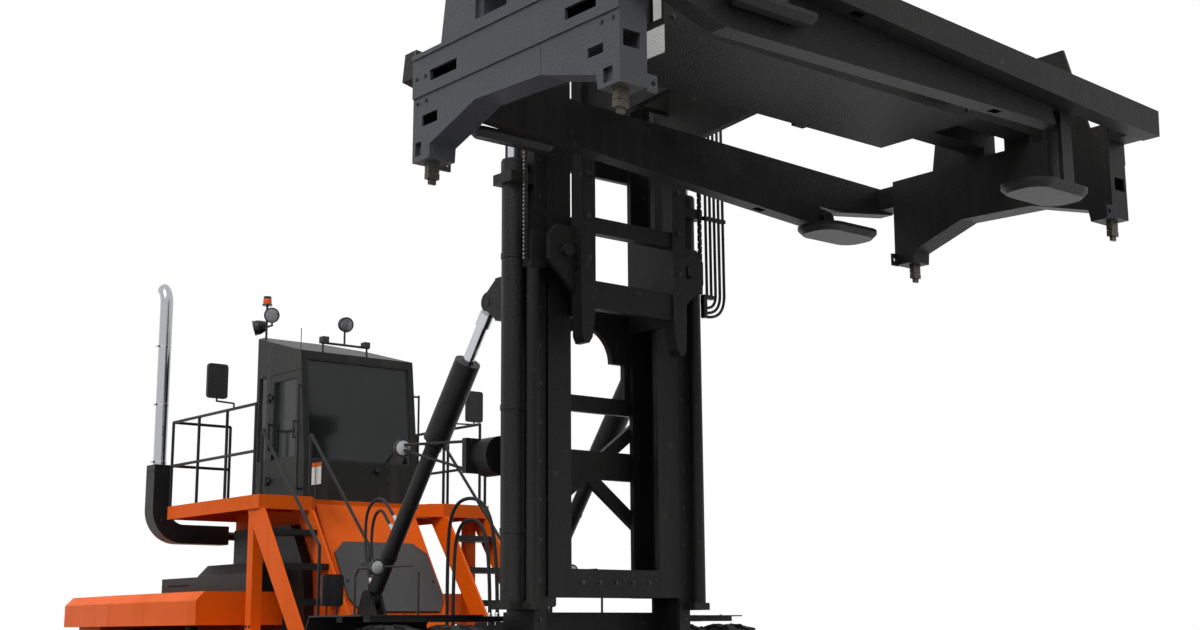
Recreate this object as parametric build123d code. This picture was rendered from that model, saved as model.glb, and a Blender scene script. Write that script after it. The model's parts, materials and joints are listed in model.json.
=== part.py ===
from build123d import *
import math
import os

# Loaded container handler: a counterbalanced lift machine with a two-stage mast, and a spreader
# that telescopes and has four legs that fold down to lift from below.
# Millimetres. X points forward, Y to the left, Z up. The origin is on the ground, under the
# middle of the machine's box.

# Whole machine
REAR_OVERHANG = 1850.0
WHEELBASE = 6100.0
SPREADER_REACH = 3060.0
SPREADER_NOSE = 1620.0
LENGTH = REAR_OVERHANG + WHEELBASE + SPREADER_REACH + SPREADER_NOSE
REAR_X = -LENGTH / 2
STEER_X = REAR_X + REAR_OVERHANG
DRIVE_X = STEER_X + WHEELBASE
SPREADER_X = DRIVE_X + SPREADER_REACH
TIP_Z = 4970.0

# Clearances
SEAT_GAP = 0.3
RUNNING_FIT = 0.1
MOVING_GAP = 5.0

# Wheels and axles
TYRE_R = 810.0
TYRE_WIDTH = 500.0
BEAD_R = 320.0
BEAD_HALF = 200.0
RIM_WALL = 30.0
RIM_DISC = 30.0
AXLE_Z = TYRE_R
DUAL_INNER_Y = 1350.0
DUAL_OUTER_Y = 2030.0
DRIVE_HOUSING_R = 220.0
DRIVE_BULGE_R = 330.0
DRIVE_STUB_R = 120.0
DRIVE_HOUSING_Y = 1070.0
DRIVE_STUB_Y = 2150.0
DRIVE_HUB_R = 250.0
DRIVE_HUB_Y = (1080.0, 2200.0)
STEER_Y = 1500.0
STEER_HUB_R = 200.0
STEER_HUB_Y = (1290.0, 1620.0)
SPINDLE_R = 90.0
SPINDLE_Y = 1560.0
KINGPIN_Y = 1150.0
KINGPIN_R = 55.0
KNUCKLE_HALF_Z = 165.0
KNUCKLE_HALF_X = 110.0
KNUCKLE_HALF_Y = 80.0
EAR_HALF_X = 100.0
EAR_THICK = 60.0
BEAM_HALF_X = 190.0
BEAM_Z = (620.0, 1040.0)
BEAM_HALF_Y = 1000.0
TRUNNION_R = 70.0
TRUNNION_Z = 830.0

# Frame
FRAME_HALF = 500.0
FRAME_PLATE = 50.0
FRAME_INNER = FRAME_HALF - FRAME_PLATE
FRAME_REAR_X = STEER_X - 1035
FRAME_NOSE_X = DRIVE_X + 320
FRAME_TOP_Z = 1500.0
FRAME_LOW_Z = 500.0
FRAME_NOSE_Z = 440.0
ARCH_Z = 1060.0
ARCH_FRONT_X = STEER_X + 315
FENDER_SEAT_Z = 1640.0
CROSS_PLATE = 40.0

# Mast pivot and tilt cylinders
PIVOT_X = DRIVE_X + 165
PIVOT_Z = 500.0
PIVOT_R = 60.0
PIVOT_LUG_R = 95.0
TILT_Y = 1030.0
TILT_BASE = (DRIVE_X - 1860, 1870.0)
TILT_EYE = (DRIVE_X + 130, 4560.0)
TILT_BASE_PIN_R = 50.0
TILT_EYE_PIN_R = 45.0
TILT_EYE_PLAY = 9.0
TILT_ROD_R = 55.0
TILT_BARREL_R = 125.0
TILT_TUBE_R = 77.0

# Pedestal, platform and stairs
PEDESTAL_HALF = 640.0
PEDESTAL_REAR_X = DRIVE_X - 5535
PEDESTAL_TOP_X = DRIVE_X - 3690
PEDESTAL_TOP_Z = 2950.0
PEDESTAL_SLOPE = 57.0
PEDESTAL_WALL = 20.0
RUN_PER_DROP = 1 / math.tan(math.radians(PEDESTAL_SLOPE))
DECK_Z = 3000.0
DECK_HALF = 1500.0
DECK_REAR_X = PEDESTAL_REAR_X - 35
DECK_FRONT_X = PEDESTAL_TOP_X + 310
FASCIA_Z = 2850.0
FASCIA_WALL = 20.0
STAIR_Y = (DECK_HALF - 640, DECK_HALF - 20)
STRINGER = 30.0
STRINGER_TOP_X = (DECK_FRONT_X - 290, DECK_FRONT_X + 60)
STRINGER_LEAN = (0.753, 0.697)
TREAD_THICK = 60.0
POST_SIZE = 120.0
POST_SETBACK = 310.0
LANDING_Z = 1520.0
LANDING_THICK = 30.0
LANDING_X = (TILT_BASE[0] - 855, TILT_BASE[0] - 195)
LANDING_Y = 1700.0
STAIR_RISERS = 4
RAIL_R = 17.0
RAIL_Y = DECK_HALF - 20
RAIL_TOP = 980.0
RAIL_MID = 470.0

# Cab
CAB_HALF = 750.0
CAB_FRONT_X = PEDESTAL_TOP_X - 80
CAB_REAR_X = CAB_FRONT_X - 1620
CAB_CORNER_X = CAB_FRONT_X - 1150
CAB_CORNER_Y = 430.0
CAB_SILL_Z = 3440.0
CAB_HEAD_Z = 4640.0
CAB_HEAD_X = CAB_FRONT_X - 130
CAB_BROW_Z = 4700.0
CAB_ROOF_Z = 5085.0
CAB_WALL = 60.0
GLASS = 12.0
DOOR_X = (CAB_FRONT_X - 815, CAB_FRONT_X - 145)
DOOR_Z = (3060.0, 4480.0)
DOOR_THICK = 50.0
DOOR_HINGE_OUT = 15.0
DOOR_PIN_R = 8.0

# Tanks, counterweight, hood
TANK_X = (STEER_X + 1085, PEDESTAL_TOP_X + 405)
TANK_Y = 1750.0
TANK_Z = (520.0, 1560.0)
WEIGHT_X = (REAR_X + 115, STEER_X - 1095)
WEIGHT_HALF = 1550.0
WEIGHT_LOW_Z = 450.0
SLAB_Z = (1640.0, 2000.0)
SLAB_REAR_HALF = 1700.0
SLAB_HALF = 1800.0
SLAB_BEVEL = 100.0
SLAB_SPLIT_X = STEER_X - 785
SLAB_TAPER_X = STEER_X - 310
SLAB_FRONT_X = PEDESTAL_TOP_X - 450
SLAB_WALL = 20.0
HOOD_HALF = 1200.0
HOOD_REAR_X = PEDESTAL_REAR_X - 745
HOOD_STEP_X = PEDESTAL_REAR_X + 195
HOOD_LOW_TOP_Z = 2190.0
HOOD_SIDE_Z = 2200.0
HOOD_TOP_Z = 2320.0
PANEL_Y = (PEDESTAL_HALF, PEDESTAL_HALF + 120)
PANEL_TOP_Z = 2735.0
PANEL_SETBACK = 460.0

# Exhaust
STACK_X = PEDESTAL_REAR_X - 305
STACK_Y = -1500.0
STACK_R = 75.0
STACK_WALL = 5.0
STACK_Z = (3500.0, 5630.0)
DUCT_HALF = 110.0
DUCT_Z = 2700.0
DUCT_END_Y = -630.0
PIPE_R = 50.0
PIPE_DROP_Y = -300.0

# Mast
COLUMN_BACK_X = DRIVE_X + 260
COLUMN_FRONT_X = DRIVE_X + 655
COLUMN_OUTER_Y = 935.0
COLUMN_WALL = 35.0
COLUMN_INNER_Y = 800.0
COLUMN_Z = (430.0, 6250.0)
MEMBER_BACK_X = COLUMN_BACK_X - 60
LIFT_X = DRIVE_X + 510
LIFT_Y = 1060.0
LIFT_BARREL_R = 115.0
LIFT_BARREL_Z = (1800.0, 5840.0)
LIFT_ROD_R = 60.0
LIFT_ROD_LOW_Z = 3700.0
INNER_Z = (1850.0, 7700.0)
INNER_WEB_Y = (765.0, 795.0)
INNER_FLANGE_Y = 530.0
INNER_BACK_X = (DRIVE_X + 270, DRIVE_X + 320)
INNER_FRONT_X = (DRIVE_X + 620, DRIVE_X + 680)
CROSSHEAD_TOP_Z = 7880.0
POST_X = COLUMN_FRONT_X + 65
POST_Y = 1000.0
POST_R = 60.0
CHAIN_Y = (1072.0, 1112.0)
DRUM_Y = -960.0
DRUM_Z = 3130.0
DRUM_R = 180.0
DRUM_LENGTH = 235.0
ARM_OUT_Y = -1180.0

# Carriage
UPRIGHT_X = (DRIVE_X + 845, DRIVE_X + 985)
UPRIGHT_Y = (480.0, 650.0)
UPRIGHT_Z = (4110.0, TIP_Z + 1820)
ARM_Y = (480.0, 560.0)
ROLLER_R = (INNER_FRONT_X[0] - INNER_BACK_X[1]) / 2 - SEAT_GAP
ROLLER_X = (INNER_FRONT_X[0] + INNER_BACK_X[1]) / 2
ROLLER_Z = (4600.0, 5200.0)
SHIFT_BAR_X = (SPREADER_X - 815, SPREADER_X - 675)
SHIFT_BAR_Z = (TIP_Z + 1250, TIP_Z + 1650)
SHIFT_BAR_Y = 1360.0
CLAW_Y = (900.0, 1050.0)

# Spreader, measured from its centre and from the twistlocks' tips
LOCK_X = 1129.5
LOCK_Y = 2926.0
END_OUTER_Y = LOCK_Y + 124
END_INNER_Y = LOCK_Y - 146
END_WALL = 40.0
END_STEP = 12.0
CAP_Z = 1015.0
SKIRT_Z = 700.0
EYE_R = 22.0
EYE_Y = END_INNER_Y - 55
EYE_Z = 225.0
LASH_X = (85.0, 110.0)
LOCK_R = 28.0
BOX_X = (-650.0, 450.0)
BOX_Z = (1100.0, 1820.0)
BOX_Y = 1900.0
BOX_WALL = 25.0
TELE_Z = (1150.0, 1780.0)
TELE_WALL = 15.0
TELE_INNER_Y = -1800.0
TALL_SETBACK = 40.0
TALL_PLATE = 25.0
TALL_Y = (END_OUTER_Y - TALL_SETBACK - TALL_PLATE, END_OUTER_Y - TALL_SETBACK)

# Telescoping beams: end (side of Y), low x, high x
TELE_BEAMS = (
    ("left", 170.0, 420.0),
    ("left", -370.0, -120.0),
    ("right", -100.0, 150.0),
    ("right", -620.0, -390.0),
)

# Folding legs: name, side of Y that holds the hinge, lane in x, hinge height, rise over the
# leg's length, depth at the hinge, depth at the ankle, drop from the ankle to the shoe's plate,
# the plate's reach past the lane towards the load and away from it
LEG_LENGTH = 4750.0
LEG_HINGE_Y = 2900.0
LEG_PIN_R = 60.0
LEG_WALL = 15.0
SHOE_HALF = 420.0
SHOE_THICK = 80.0
LEGS = (
    ("front_left", 1, (1450.0, 1620.0), 1000.0, 225.0, 260.0, 200.0, 300.0, 13.0, 0.0),
    ("front_right", -1, (1270.0, 1430.0), 1050.0, -150.0, 450.0, 250.0, 600.0, 350.0, -5.0),
    ("rear_left", 1, (-1620.0, -1450.0), 900.0, 100.0, 360.0, 300.0, 300.0, 13.0, 0.0),
    ("rear_right", -1, (-1430.0, -1270.0), 1000.0, -490.0, 340.0, 200.0, 125.0, 350.0, -5.0),
)


def flat(pieces):
    """Pieces and lists of pieces as one list."""
    found = []
    for piece in pieces:
        if isinstance(piece, (list, tuple)):
            found.extend(flat(piece))
        else:
            found.append(piece)
    return found


def box(x, y, z):
    """A block between two limits along each axis."""
    return Solid.make_box(x[1] - x[0], y[1] - y[0], z[1] - z[0], Plane(origin=(x[0], y[0], z[0])))


def about(middle, half):
    """The limits half to each side of a middle."""
    return (middle - half, middle + half)


def push(points, sweep):
    """A flat outline in space, pushed along a vector."""
    return Solid.extrude(Face(Wire.make_polygon(points)), Vector(*sweep))


def prism_x(outline, x):
    """An outline of (y, z) points between two limits along X."""
    return push([(x[0], py, pz) for py, pz in outline], (x[1] - x[0], 0, 0))


def prism_y(outline, y):
    """An outline of (x, z) points between two limits along Y."""
    return push([(px, y[0], pz) for px, pz in outline], (0, y[1] - y[0], 0))


def prism_z(outline, z):
    """An outline of (x, y) points between two limits along Z."""
    return push([(px, py, z[0]) for px, py in outline], (0, 0, z[1] - z[0]))


def rod(start, end, radius):
    """A round bar between two points."""
    line = Vector(*end) - Vector(*start)
    return Solid.make_cylinder(radius, line.length, Plane(origin=start, z_dir=line))


def turned(profile, x, z):
    """An outline of (y, radius) points turned about the line along Y through x and z."""
    face = Face(Wire.make_polygon([(x, y, z + radius) for y, radius in profile]))
    return Solid.revolve(face, 360, Axis((x, 0, z), (0, 1, 0)))


def joined(*pieces):
    """Pieces made one."""
    first, *rest = flat(pieces)
    return first.fuse(*rest)


def cut(base, *tools):
    """A piece with other shapes cut away."""
    return base.cut(*flat(tools))


def common(piece, tool):
    """What two shapes share."""
    return Compound(piece.intersect(tool).solids())


def mirrored(piece):
    """The same piece on the other side of the machine."""
    return piece.mirror(Plane.XZ)


def both(*pieces):
    """Pieces and their mirror images."""
    return flat([[piece, mirrored(piece)] for piece in flat(pieces)])


def inset(outline, depth):
    """An outline with every side moved inwards by depth."""
    count = len(outline)
    twice_area = sum(
        outline[k - 1][0] * outline[k][1] - outline[k][0] * outline[k - 1][1] for k in range(count)
    )
    turn = math.copysign(1.0, twice_area)
    moved = []
    for k in range(count):
        normals = []
        for start, end in ((outline[k - 1], outline[k]), (outline[k], outline[(k + 1) % count])):
            run = math.hypot(end[0] - start[0], end[1] - start[1])
            normals.append((-turn * (end[1] - start[1]) / run, turn * (end[0] - start[0]) / run))
        share = depth / (1 + normals[0][0] * normals[1][0] + normals[0][1] * normals[1][1])
        shift = (share * (normals[0][0] + normals[1][0]), share * (normals[0][1] + normals[1][1]))
        moved.append((outline[k][0] + shift[0], outline[k][1] + shift[1]))
    return moved


def write(name, *pieces):
    """One sub-part as a STEP file."""
    solids = [solid for piece in flat(pieces) for solid in piece.solids()]
    export_step(Compound(solids), f"parts/{name}.step")


# Wheels and axles


def wheel_disc(centres, hub_r, hub_y, bore_r, bore_end):
    """Hub, discs and rim barrels of one wheel or of twin wheels, closed at its outer end."""
    barrel_r = BEAD_R - SEAT_GAP
    inside_r = barrel_r - RIM_WALL
    profile = [(hub_y[0], bore_r), (hub_y[0], hub_r)]
    for centre in centres:
        profile += [
            (centre - RIM_DISC / 2, hub_r),
            (centre - RIM_DISC / 2, inside_r),
            (centre - BEAD_HALF, inside_r),
            (centre - BEAD_HALF, barrel_r),
            (centre + BEAD_HALF, barrel_r),
            (centre + BEAD_HALF, inside_r),
            (centre + RIM_DISC / 2, inside_r),
            (centre + RIM_DISC / 2, hub_r),
        ]
    profile += [(hub_y[1], hub_r), (hub_y[1], 0), (bore_end, 0), (bore_end, bore_r)]
    return profile


def tyre(centre, x):
    """One tyre on the left side."""
    half = TYRE_WIDTH / 2
    profile = [
        (centre - BEAD_HALF, BEAD_R),
        (centre + BEAD_HALF, BEAD_R),
        (centre + half, BEAD_R + 240),
        (centre + half - 5, TYRE_R - 80),
        (centre + half - 55, TYRE_R),
        (centre - half + 55, TYRE_R),
        (centre - half + 5, TYRE_R - 80),
        (centre - half, BEAD_R + 240),
    ]
    return turned(profile, x, AXLE_Z)


def make_wheels():
    drive_rim = turned(
        wheel_disc(
            (DUAL_INNER_Y, DUAL_OUTER_Y),
            DRIVE_HUB_R,
            DRIVE_HUB_Y,
            DRIVE_STUB_R + RUNNING_FIT,
            DRIVE_STUB_Y + 3,
        ),
        DRIVE_X,
        AXLE_Z,
    )
    steer_rim = turned(
        wheel_disc(
            (STEER_Y,), STEER_HUB_R, STEER_HUB_Y, SPINDLE_R + RUNNING_FIT, SPINDLE_Y + 3
        ),
        STEER_X,
        AXLE_Z,
    )
    drive_tyres = [tyre(DUAL_INNER_Y, DRIVE_X), tyre(DUAL_OUTER_Y, DRIVE_X)]
    steer_tyre = tyre(STEER_Y, STEER_X)
    write("drive_rims_left", drive_rim)
    write("drive_rims_right", mirrored(drive_rim))
    write("drive_tyres_left", drive_tyres)
    write("drive_tyres_right", [mirrored(piece) for piece in drive_tyres])
    write("steer_rim_left", steer_rim)
    write("steer_rim_right", mirrored(steer_rim))
    write("steer_tyre_left", steer_tyre)
    write("steer_tyre_right", mirrored(steer_tyre))


def make_drive_axle():
    half = [
        (0, DRIVE_BULGE_R),
        (180, DRIVE_BULGE_R),
        (300, DRIVE_HOUSING_R),
        (DRIVE_HOUSING_Y, DRIVE_HOUSING_R),
        (DRIVE_HOUSING_Y, DRIVE_STUB_R),
        (DRIVE_STUB_Y, DRIVE_STUB_R),
        (DRIVE_STUB_Y, 0),
    ]
    profile = [(-y, radius) for y, radius in reversed(half[1:])] + half[1:]
    write("drive_axle", turned(profile, DRIVE_X, AXLE_Z))


def make_steer_axle():
    beam = prism_z(
        [
            (STEER_X - BEAM_HALF_X, -700),
            (STEER_X - KNUCKLE_HALF_X, -BEAM_HALF_Y),
            (STEER_X + KNUCKLE_HALF_X, -BEAM_HALF_Y),
            (STEER_X + BEAM_HALF_X, -700),
            (STEER_X + BEAM_HALF_X, 700),
            (STEER_X + KNUCKLE_HALF_X, BEAM_HALF_Y),
            (STEER_X - KNUCKLE_HALF_X, BEAM_HALF_Y),
            (STEER_X - BEAM_HALF_X, 700),
        ],
        BEAM_Z,
    )
    knuckle_z = about(AXLE_Z + 20, KNUCKLE_HALF_Z)
    ear_low = knuckle_z[0] - MOVING_GAP - EAR_THICK
    ear_high = knuckle_z[1] + MOVING_GAP
    ends = []
    for low in (ear_low, ear_high):
        ends.append(
            box(about(STEER_X, EAR_HALF_X), (BEAM_HALF_Y - 60, KINGPIN_Y + 70), (low, low + EAR_THICK))
        )
    ends.append(
        rod((STEER_X, KINGPIN_Y, ear_low), (STEER_X, KINGPIN_Y, ear_high + EAR_THICK), KINGPIN_R)
    )
    trunnion = rod(
        (STEER_X - BEAM_HALF_X - 55, 0, TRUNNION_Z), (STEER_X + BEAM_HALF_X + 55, 0, TRUNNION_Z), TRUNNION_R
    )
    write("steer_axle", joined(beam, trunnion, both(ends)))

    knuckle = box(
        about(STEER_X, KNUCKLE_HALF_X), about(KINGPIN_Y, KNUCKLE_HALF_Y), knuckle_z
    )
    spindle = rod(
        (STEER_X, KINGPIN_Y + KNUCKLE_HALF_Y - 10, AXLE_Z), (STEER_X, SPINDLE_Y, AXLE_Z), SPINDLE_R
    )
    bore = rod(
        (STEER_X, KINGPIN_Y, ear_low), (STEER_X, KINGPIN_Y, ear_high + EAR_THICK), KINGPIN_R + RUNNING_FIT
    )
    knuckle = cut(joined(knuckle, spindle), bore)
    write("knuckle_left", knuckle)
    write("knuckle_right", mirrored(knuckle))


# Frame


def tilt_fork():
    """The bracket on the left that holds the tilt cylinder's base."""
    x, z = TILT_BASE
    arm = box(about(x, 175), (FRAME_HALF - 10, TILT_Y + 120), (1250, 1600))
    cheeks = []
    for y in ((TILT_Y - 70, TILT_Y - 40), (TILT_Y + 40, TILT_Y + 70)):
        plate = prism_y(
            [(x - 240, 1590), (x + 240, 1590), (x + 90, z + 20), (x - 90, z + 20)], y
        )
        cheeks += [plate, rod((x, y[0], z), (x, y[1], z), 95)]
    front = prism_y([(x + 150, 1590), (x + 235, 1590), (x + 200, 1700), (x + 150, 1700)], about(TILT_Y, 65))
    pin = rod((x, TILT_Y - 75, z), (x, TILT_Y + 75, z), TILT_BASE_PIN_R)
    return [arm, cheeks, front, pin]


def make_frame():
    side = prism_y(
        [
            (FRAME_REAR_X, ARCH_Z),
            (ARCH_FRONT_X, ARCH_Z),
            (ARCH_FRONT_X + 200, FRAME_LOW_Z),
            (DRIVE_X - 385, FRAME_LOW_Z),
            (DRIVE_X - 235, FRAME_NOSE_Z),
            (FRAME_NOSE_X, FRAME_NOSE_Z),
            (FRAME_NOSE_X, AXLE_Z + 90),
            (DRIVE_X + 65, 1250),
            (DRIVE_X + 5, FENDER_SEAT_Z),
            (DRIVE_X - 835, FENDER_SEAT_Z),
            (DRIVE_X - 935, FRAME_TOP_Z),
            (FRAME_REAR_X, FRAME_TOP_Z),
        ],
        (FRAME_INNER, FRAME_HALF),
    )
    cross_x = (
        (FRAME_REAR_X, ARCH_Z),
        (ARCH_FRONT_X + 250, FRAME_LOW_Z),
        (PEDESTAL_TOP_X + 400, FRAME_LOW_Z),
        (DRIVE_X - 1000, FRAME_LOW_Z),
        (DRIVE_X - 425, FRAME_LOW_Z),
    )
    inside = (-FRAME_INNER - 5, FRAME_INNER + 5)
    plates = [box((x, x + CROSS_PLATE), inside, (low, FRAME_TOP_Z)) for x, low in cross_x]
    plates.append(box((ARCH_FRONT_X + 250, DRIVE_X - 385), inside, (FRAME_LOW_Z, FRAME_LOW_Z + 20)))
    for x in (STEER_X - BEAM_HALF_X - 50, STEER_X + BEAM_HALF_X + 10):
        plates.append(box((x, x + CROSS_PLATE), inside, (700, FRAME_TOP_Z)))
    pin = joined(
        rod((PIVOT_X, FRAME_HALF, PIVOT_Z), (PIVOT_X, COLUMN_OUTER_Y + 75, PIVOT_Z), PIVOT_R),
        rod((PIVOT_X, FRAME_HALF, PIVOT_Z), (PIVOT_X, COLUMN_INNER_Y - 10, PIVOT_Z), 85),
    )
    trunnion_hole = rod(
        (STEER_X - 300, 0, TRUNNION_Z), (STEER_X + 300, 0, TRUNNION_Z), TRUNNION_R + SEAT_GAP
    )
    axle_hole = rod(
        (DRIVE_X, -FRAME_HALF - 10, AXLE_Z), (DRIVE_X, FRAME_HALF + 10, AXLE_Z), DRIVE_HOUSING_R + SEAT_GAP
    )
    frame = joined(both(side, tilt_fork()), plates)
    write("chassis_frame", cut(frame, trunnion_hole, axle_hole), both(pin))


def make_tanks():
    tank = prism_x(
        [
            (FRAME_HALF, TANK_Z[0]),
            (TANK_Y - 150, TANK_Z[0]),
            (TANK_Y, TANK_Z[0] + 150),
            (TANK_Y, TANK_Z[1] - 80),
            (TANK_Y - 80, TANK_Z[1]),
            (PEDESTAL_HALF, TANK_Z[1]),
            (PEDESTAL_HALF, FRAME_TOP_Z),
            (FRAME_HALF, FRAME_TOP_Z),
        ],
        TANK_X,
    )
    write("tanks", both(tank))


def make_engine():
    block_x = (PEDESTAL_REAR_X + 300, PEDESTAL_TOP_X - 145)
    block = box(block_x, (-400, 400), (700, 1950))
    feet = [box(about(x, 60), (390, FRAME_INNER), (820, 900)) for x in (block_x[0] + 200, block_x[1] - 200)]
    write("engine_block", joined(block, both(feet)))


# Rear body


def slab_section(x, half, depth, low):
    """The rear deck's section at x as a closed wire, depth inside its skin."""
    top = SLAB_Z[1] - depth
    half -= depth
    bevel = SLAB_BEVEL - 0.4 * depth
    return Wire.make_polygon(
        [
            (x, -half, low),
            (x, half, low),
            (x, half, top - bevel),
            (x, half - bevel, top),
            (x, bevel - half, top),
            (x, -half, top - bevel),
        ]
    )


def slab_form(x, depth=0.0, low=SLAB_Z[0]):
    """The rear deck's solid between two places along X."""
    rate = (SLAB_HALF - SLAB_REAR_HALF) / (SLAB_TAPER_X - REAR_X)
    halves = [min(SLAB_HALF, SLAB_REAR_HALF + rate * (place - REAR_X)) for place in x]
    wires = [slab_section(place, half, depth, low) for place, half in zip(x, halves)]
    return Solid.make_loft(wires, ruled=True)


def make_counterweight():
    block = prism_y(
        [
            (WEIGHT_X[0] + 120, WEIGHT_LOW_Z),
            (WEIGHT_X[1], WEIGHT_LOW_Z),
            (WEIGHT_X[1], SLAB_Z[0] + 10),
            (WEIGHT_X[0], SLAB_Z[0] + 10),
            (WEIGHT_X[0], WEIGHT_LOW_Z + 250),
        ],
        (-WEIGHT_HALF, WEIGHT_HALF),
    )
    nose = box((WEIGHT_X[1] - 10, FRAME_REAR_X), (-FRAME_INNER, FRAME_INNER), (ARCH_Z, FRAME_TOP_Z))
    slab = slab_form((REAR_X, SLAB_SPLIT_X))
    lug_x = WEIGHT_X[0] - 50
    lugs = []
    for low in (780, 940):
        plate = box((lug_x, WEIGHT_X[0] + 40), (-90, 90), (low, low + 40))
        lugs += [plate, rod((lug_x, 0, low), (lug_x, 0, low + 40), 60)]
    bore = rod((lug_x, 0, 700), (lug_x, 0, 1100), 25)
    write("counterweight", cut(joined(block, nose, slab, lugs), bore))


def make_hood():
    below = SLAB_Z[0] - 10
    taper = cut(
        slab_form((SLAB_SPLIT_X, SLAB_TAPER_X)),
        slab_form((SLAB_SPLIT_X + SLAB_WALL, SLAB_TAPER_X + 0.001), SLAB_WALL, below),
    )
    straight = cut(
        slab_form((SLAB_TAPER_X, SLAB_FRONT_X)),
        slab_form((SLAB_TAPER_X - 0.001, SLAB_FRONT_X - SLAB_WALL), SLAB_WALL, below),
    )
    webs = both(
        box(
            (SLAB_SPLIT_X + SLAB_WALL, PEDESTAL_REAR_X),
            (FRAME_INNER, FRAME_HALF),
            (FRAME_TOP_Z, SLAB_Z[1] - SLAB_WALL),
        )
    )
    low_hood = cut(
        box((HOOD_REAR_X, HOOD_STEP_X), about(0, HOOD_HALF), (SLAB_Z[1], HOOD_LOW_TOP_Z)),
        box(
            (HOOD_REAR_X + SLAB_WALL, HOOD_STEP_X - SLAB_WALL),
            about(0, HOOD_HALF - SLAB_WALL),
            (SLAB_Z[1] - 10, HOOD_LOW_TOP_Z - SLAB_WALL),
        ),
    )
    outline = [
        (PEDESTAL_HALF, SLAB_Z[1]),
        (HOOD_HALF, SLAB_Z[1]),
        (HOOD_HALF, HOOD_SIDE_Z),
        (HOOD_HALF - 120, HOOD_TOP_Z),
        (PEDESTAL_HALF, HOOD_TOP_Z),
    ]
    inner = inset(outline, SLAB_WALL)
    high_hood = cut(
        prism_x(outline, (HOOD_STEP_X, SLAB_FRONT_X)),
        prism_x(inner, (HOOD_STEP_X + SLAB_WALL, SLAB_FRONT_X - SLAB_WALL)),
    )
    passage = box(
        (PEDESTAL_REAR_X, SLAB_FRONT_X + 10), about(0, PEDESTAL_HALF), (below, HOOD_TOP_Z + 10)
    )
    write("rear_deck", cut(joined(taper, straight, webs), passage))
    write("hood", cut(joined(low_hood, both(high_hood)), passage))


def make_side_panels():
    """Black panels on the pedestal's sides, cut off parallel to its sloped front."""
    low_z = TANK_Z[1]
    bend_z = HOOD_TOP_Z - 30
    panel = prism_y(
        [
            (PEDESTAL_REAR_X + 200, HOOD_TOP_Z),
            (PEDESTAL_REAR_X + 200, PANEL_TOP_Z),
            (slope_x(PANEL_TOP_Z) - PANEL_SETBACK, PANEL_TOP_Z),
            (slope_x(bend_z) - PANEL_SETBACK, bend_z),
            (slope_x(bend_z) - PANEL_SETBACK + 90, low_z),
            (SLAB_FRONT_X, low_z),
            (SLAB_FRONT_X, HOOD_TOP_Z),
        ],
        PANEL_Y,
    )
    write("side_panels", both(panel))


def make_fenders():
    top = FENDER_SEAT_Z + 60
    outline = [
        (DRIVE_X - 10, top),
        (DRIVE_X - 890, top),
        (DRIVE_X - 995, 1500),
        (DRIVE_X - 1035, 1300),
        (DRIVE_X - 1023, 1300),
        (DRIVE_X - 983, 1496),
        (DRIVE_X - 883, top - 12),
        (DRIVE_X - 10, top - 12),
    ]
    plate = prism_y(outline, (1000, DUAL_OUTER_Y + TYRE_WIDTH / 2 + 10))
    arms = []
    for x in (DRIVE_X - 600, DRIVE_X - 150):
        arms.append(
            box((x, x + 100), (FRAME_INNER, DUAL_OUTER_Y + 150), (FENDER_SEAT_Z, top - 12))
        )
    write("fenders", both(joined(plate, arms)))


def slope_x(z):
    """The pedestal's sloped front at height z."""
    return PEDESTAL_TOP_X + (PEDESTAL_TOP_Z - z) * RUN_PER_DROP


def pedestal_form(depth=0.0):
    outline = [
        (PEDESTAL_REAR_X, FRAME_TOP_Z),
        (PEDESTAL_REAR_X, PEDESTAL_TOP_Z),
        (PEDESTAL_TOP_X, PEDESTAL_TOP_Z),
        (slope_x(FRAME_TOP_Z), FRAME_TOP_Z),
    ]
    return prism_y(inset(outline, depth) if depth else outline, about(0, PEDESTAL_HALF - depth))


def make_pedestal():
    opening = box(
        (PEDESTAL_REAR_X + PEDESTAL_WALL, slope_x(FRAME_TOP_Z) - 2 * PEDESTAL_WALL),
        about(0, PEDESTAL_HALF - PEDESTAL_WALL),
        (FRAME_TOP_Z - 10, FRAME_TOP_Z + PEDESTAL_WALL + 1),
    )
    write("pedestal", cut(pedestal_form(), pedestal_form(PEDESTAL_WALL), opening))

    outline = ((450, 2520), (600, 2400), (610, 1900), (500, 1760))
    ring = [(slope_x(z), y, z) for y, z in outline]
    ring += [(slope_x(z), -y, z) for y, z in reversed(outline)]
    out = (25 * math.sin(math.radians(PEDESTAL_SLOPE)), 0, 25 * math.cos(math.radians(PEDESTAL_SLOPE)))
    write("pedestal_cover", push(ring, out))


def deck_outline():
    return [
        (DECK_REAR_X, -DECK_HALF),
        (DECK_FRONT_X, -DECK_HALF),
        (DECK_FRONT_X, -STAIR_Y[0]),
        (PEDESTAL_TOP_X, -PEDESTAL_HALF),
        (PEDESTAL_TOP_X, PEDESTAL_HALF),
        (DECK_FRONT_X, STAIR_Y[0]),
        (DECK_FRONT_X, DECK_HALF),
        (DECK_REAR_X, DECK_HALF),
    ]


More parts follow.
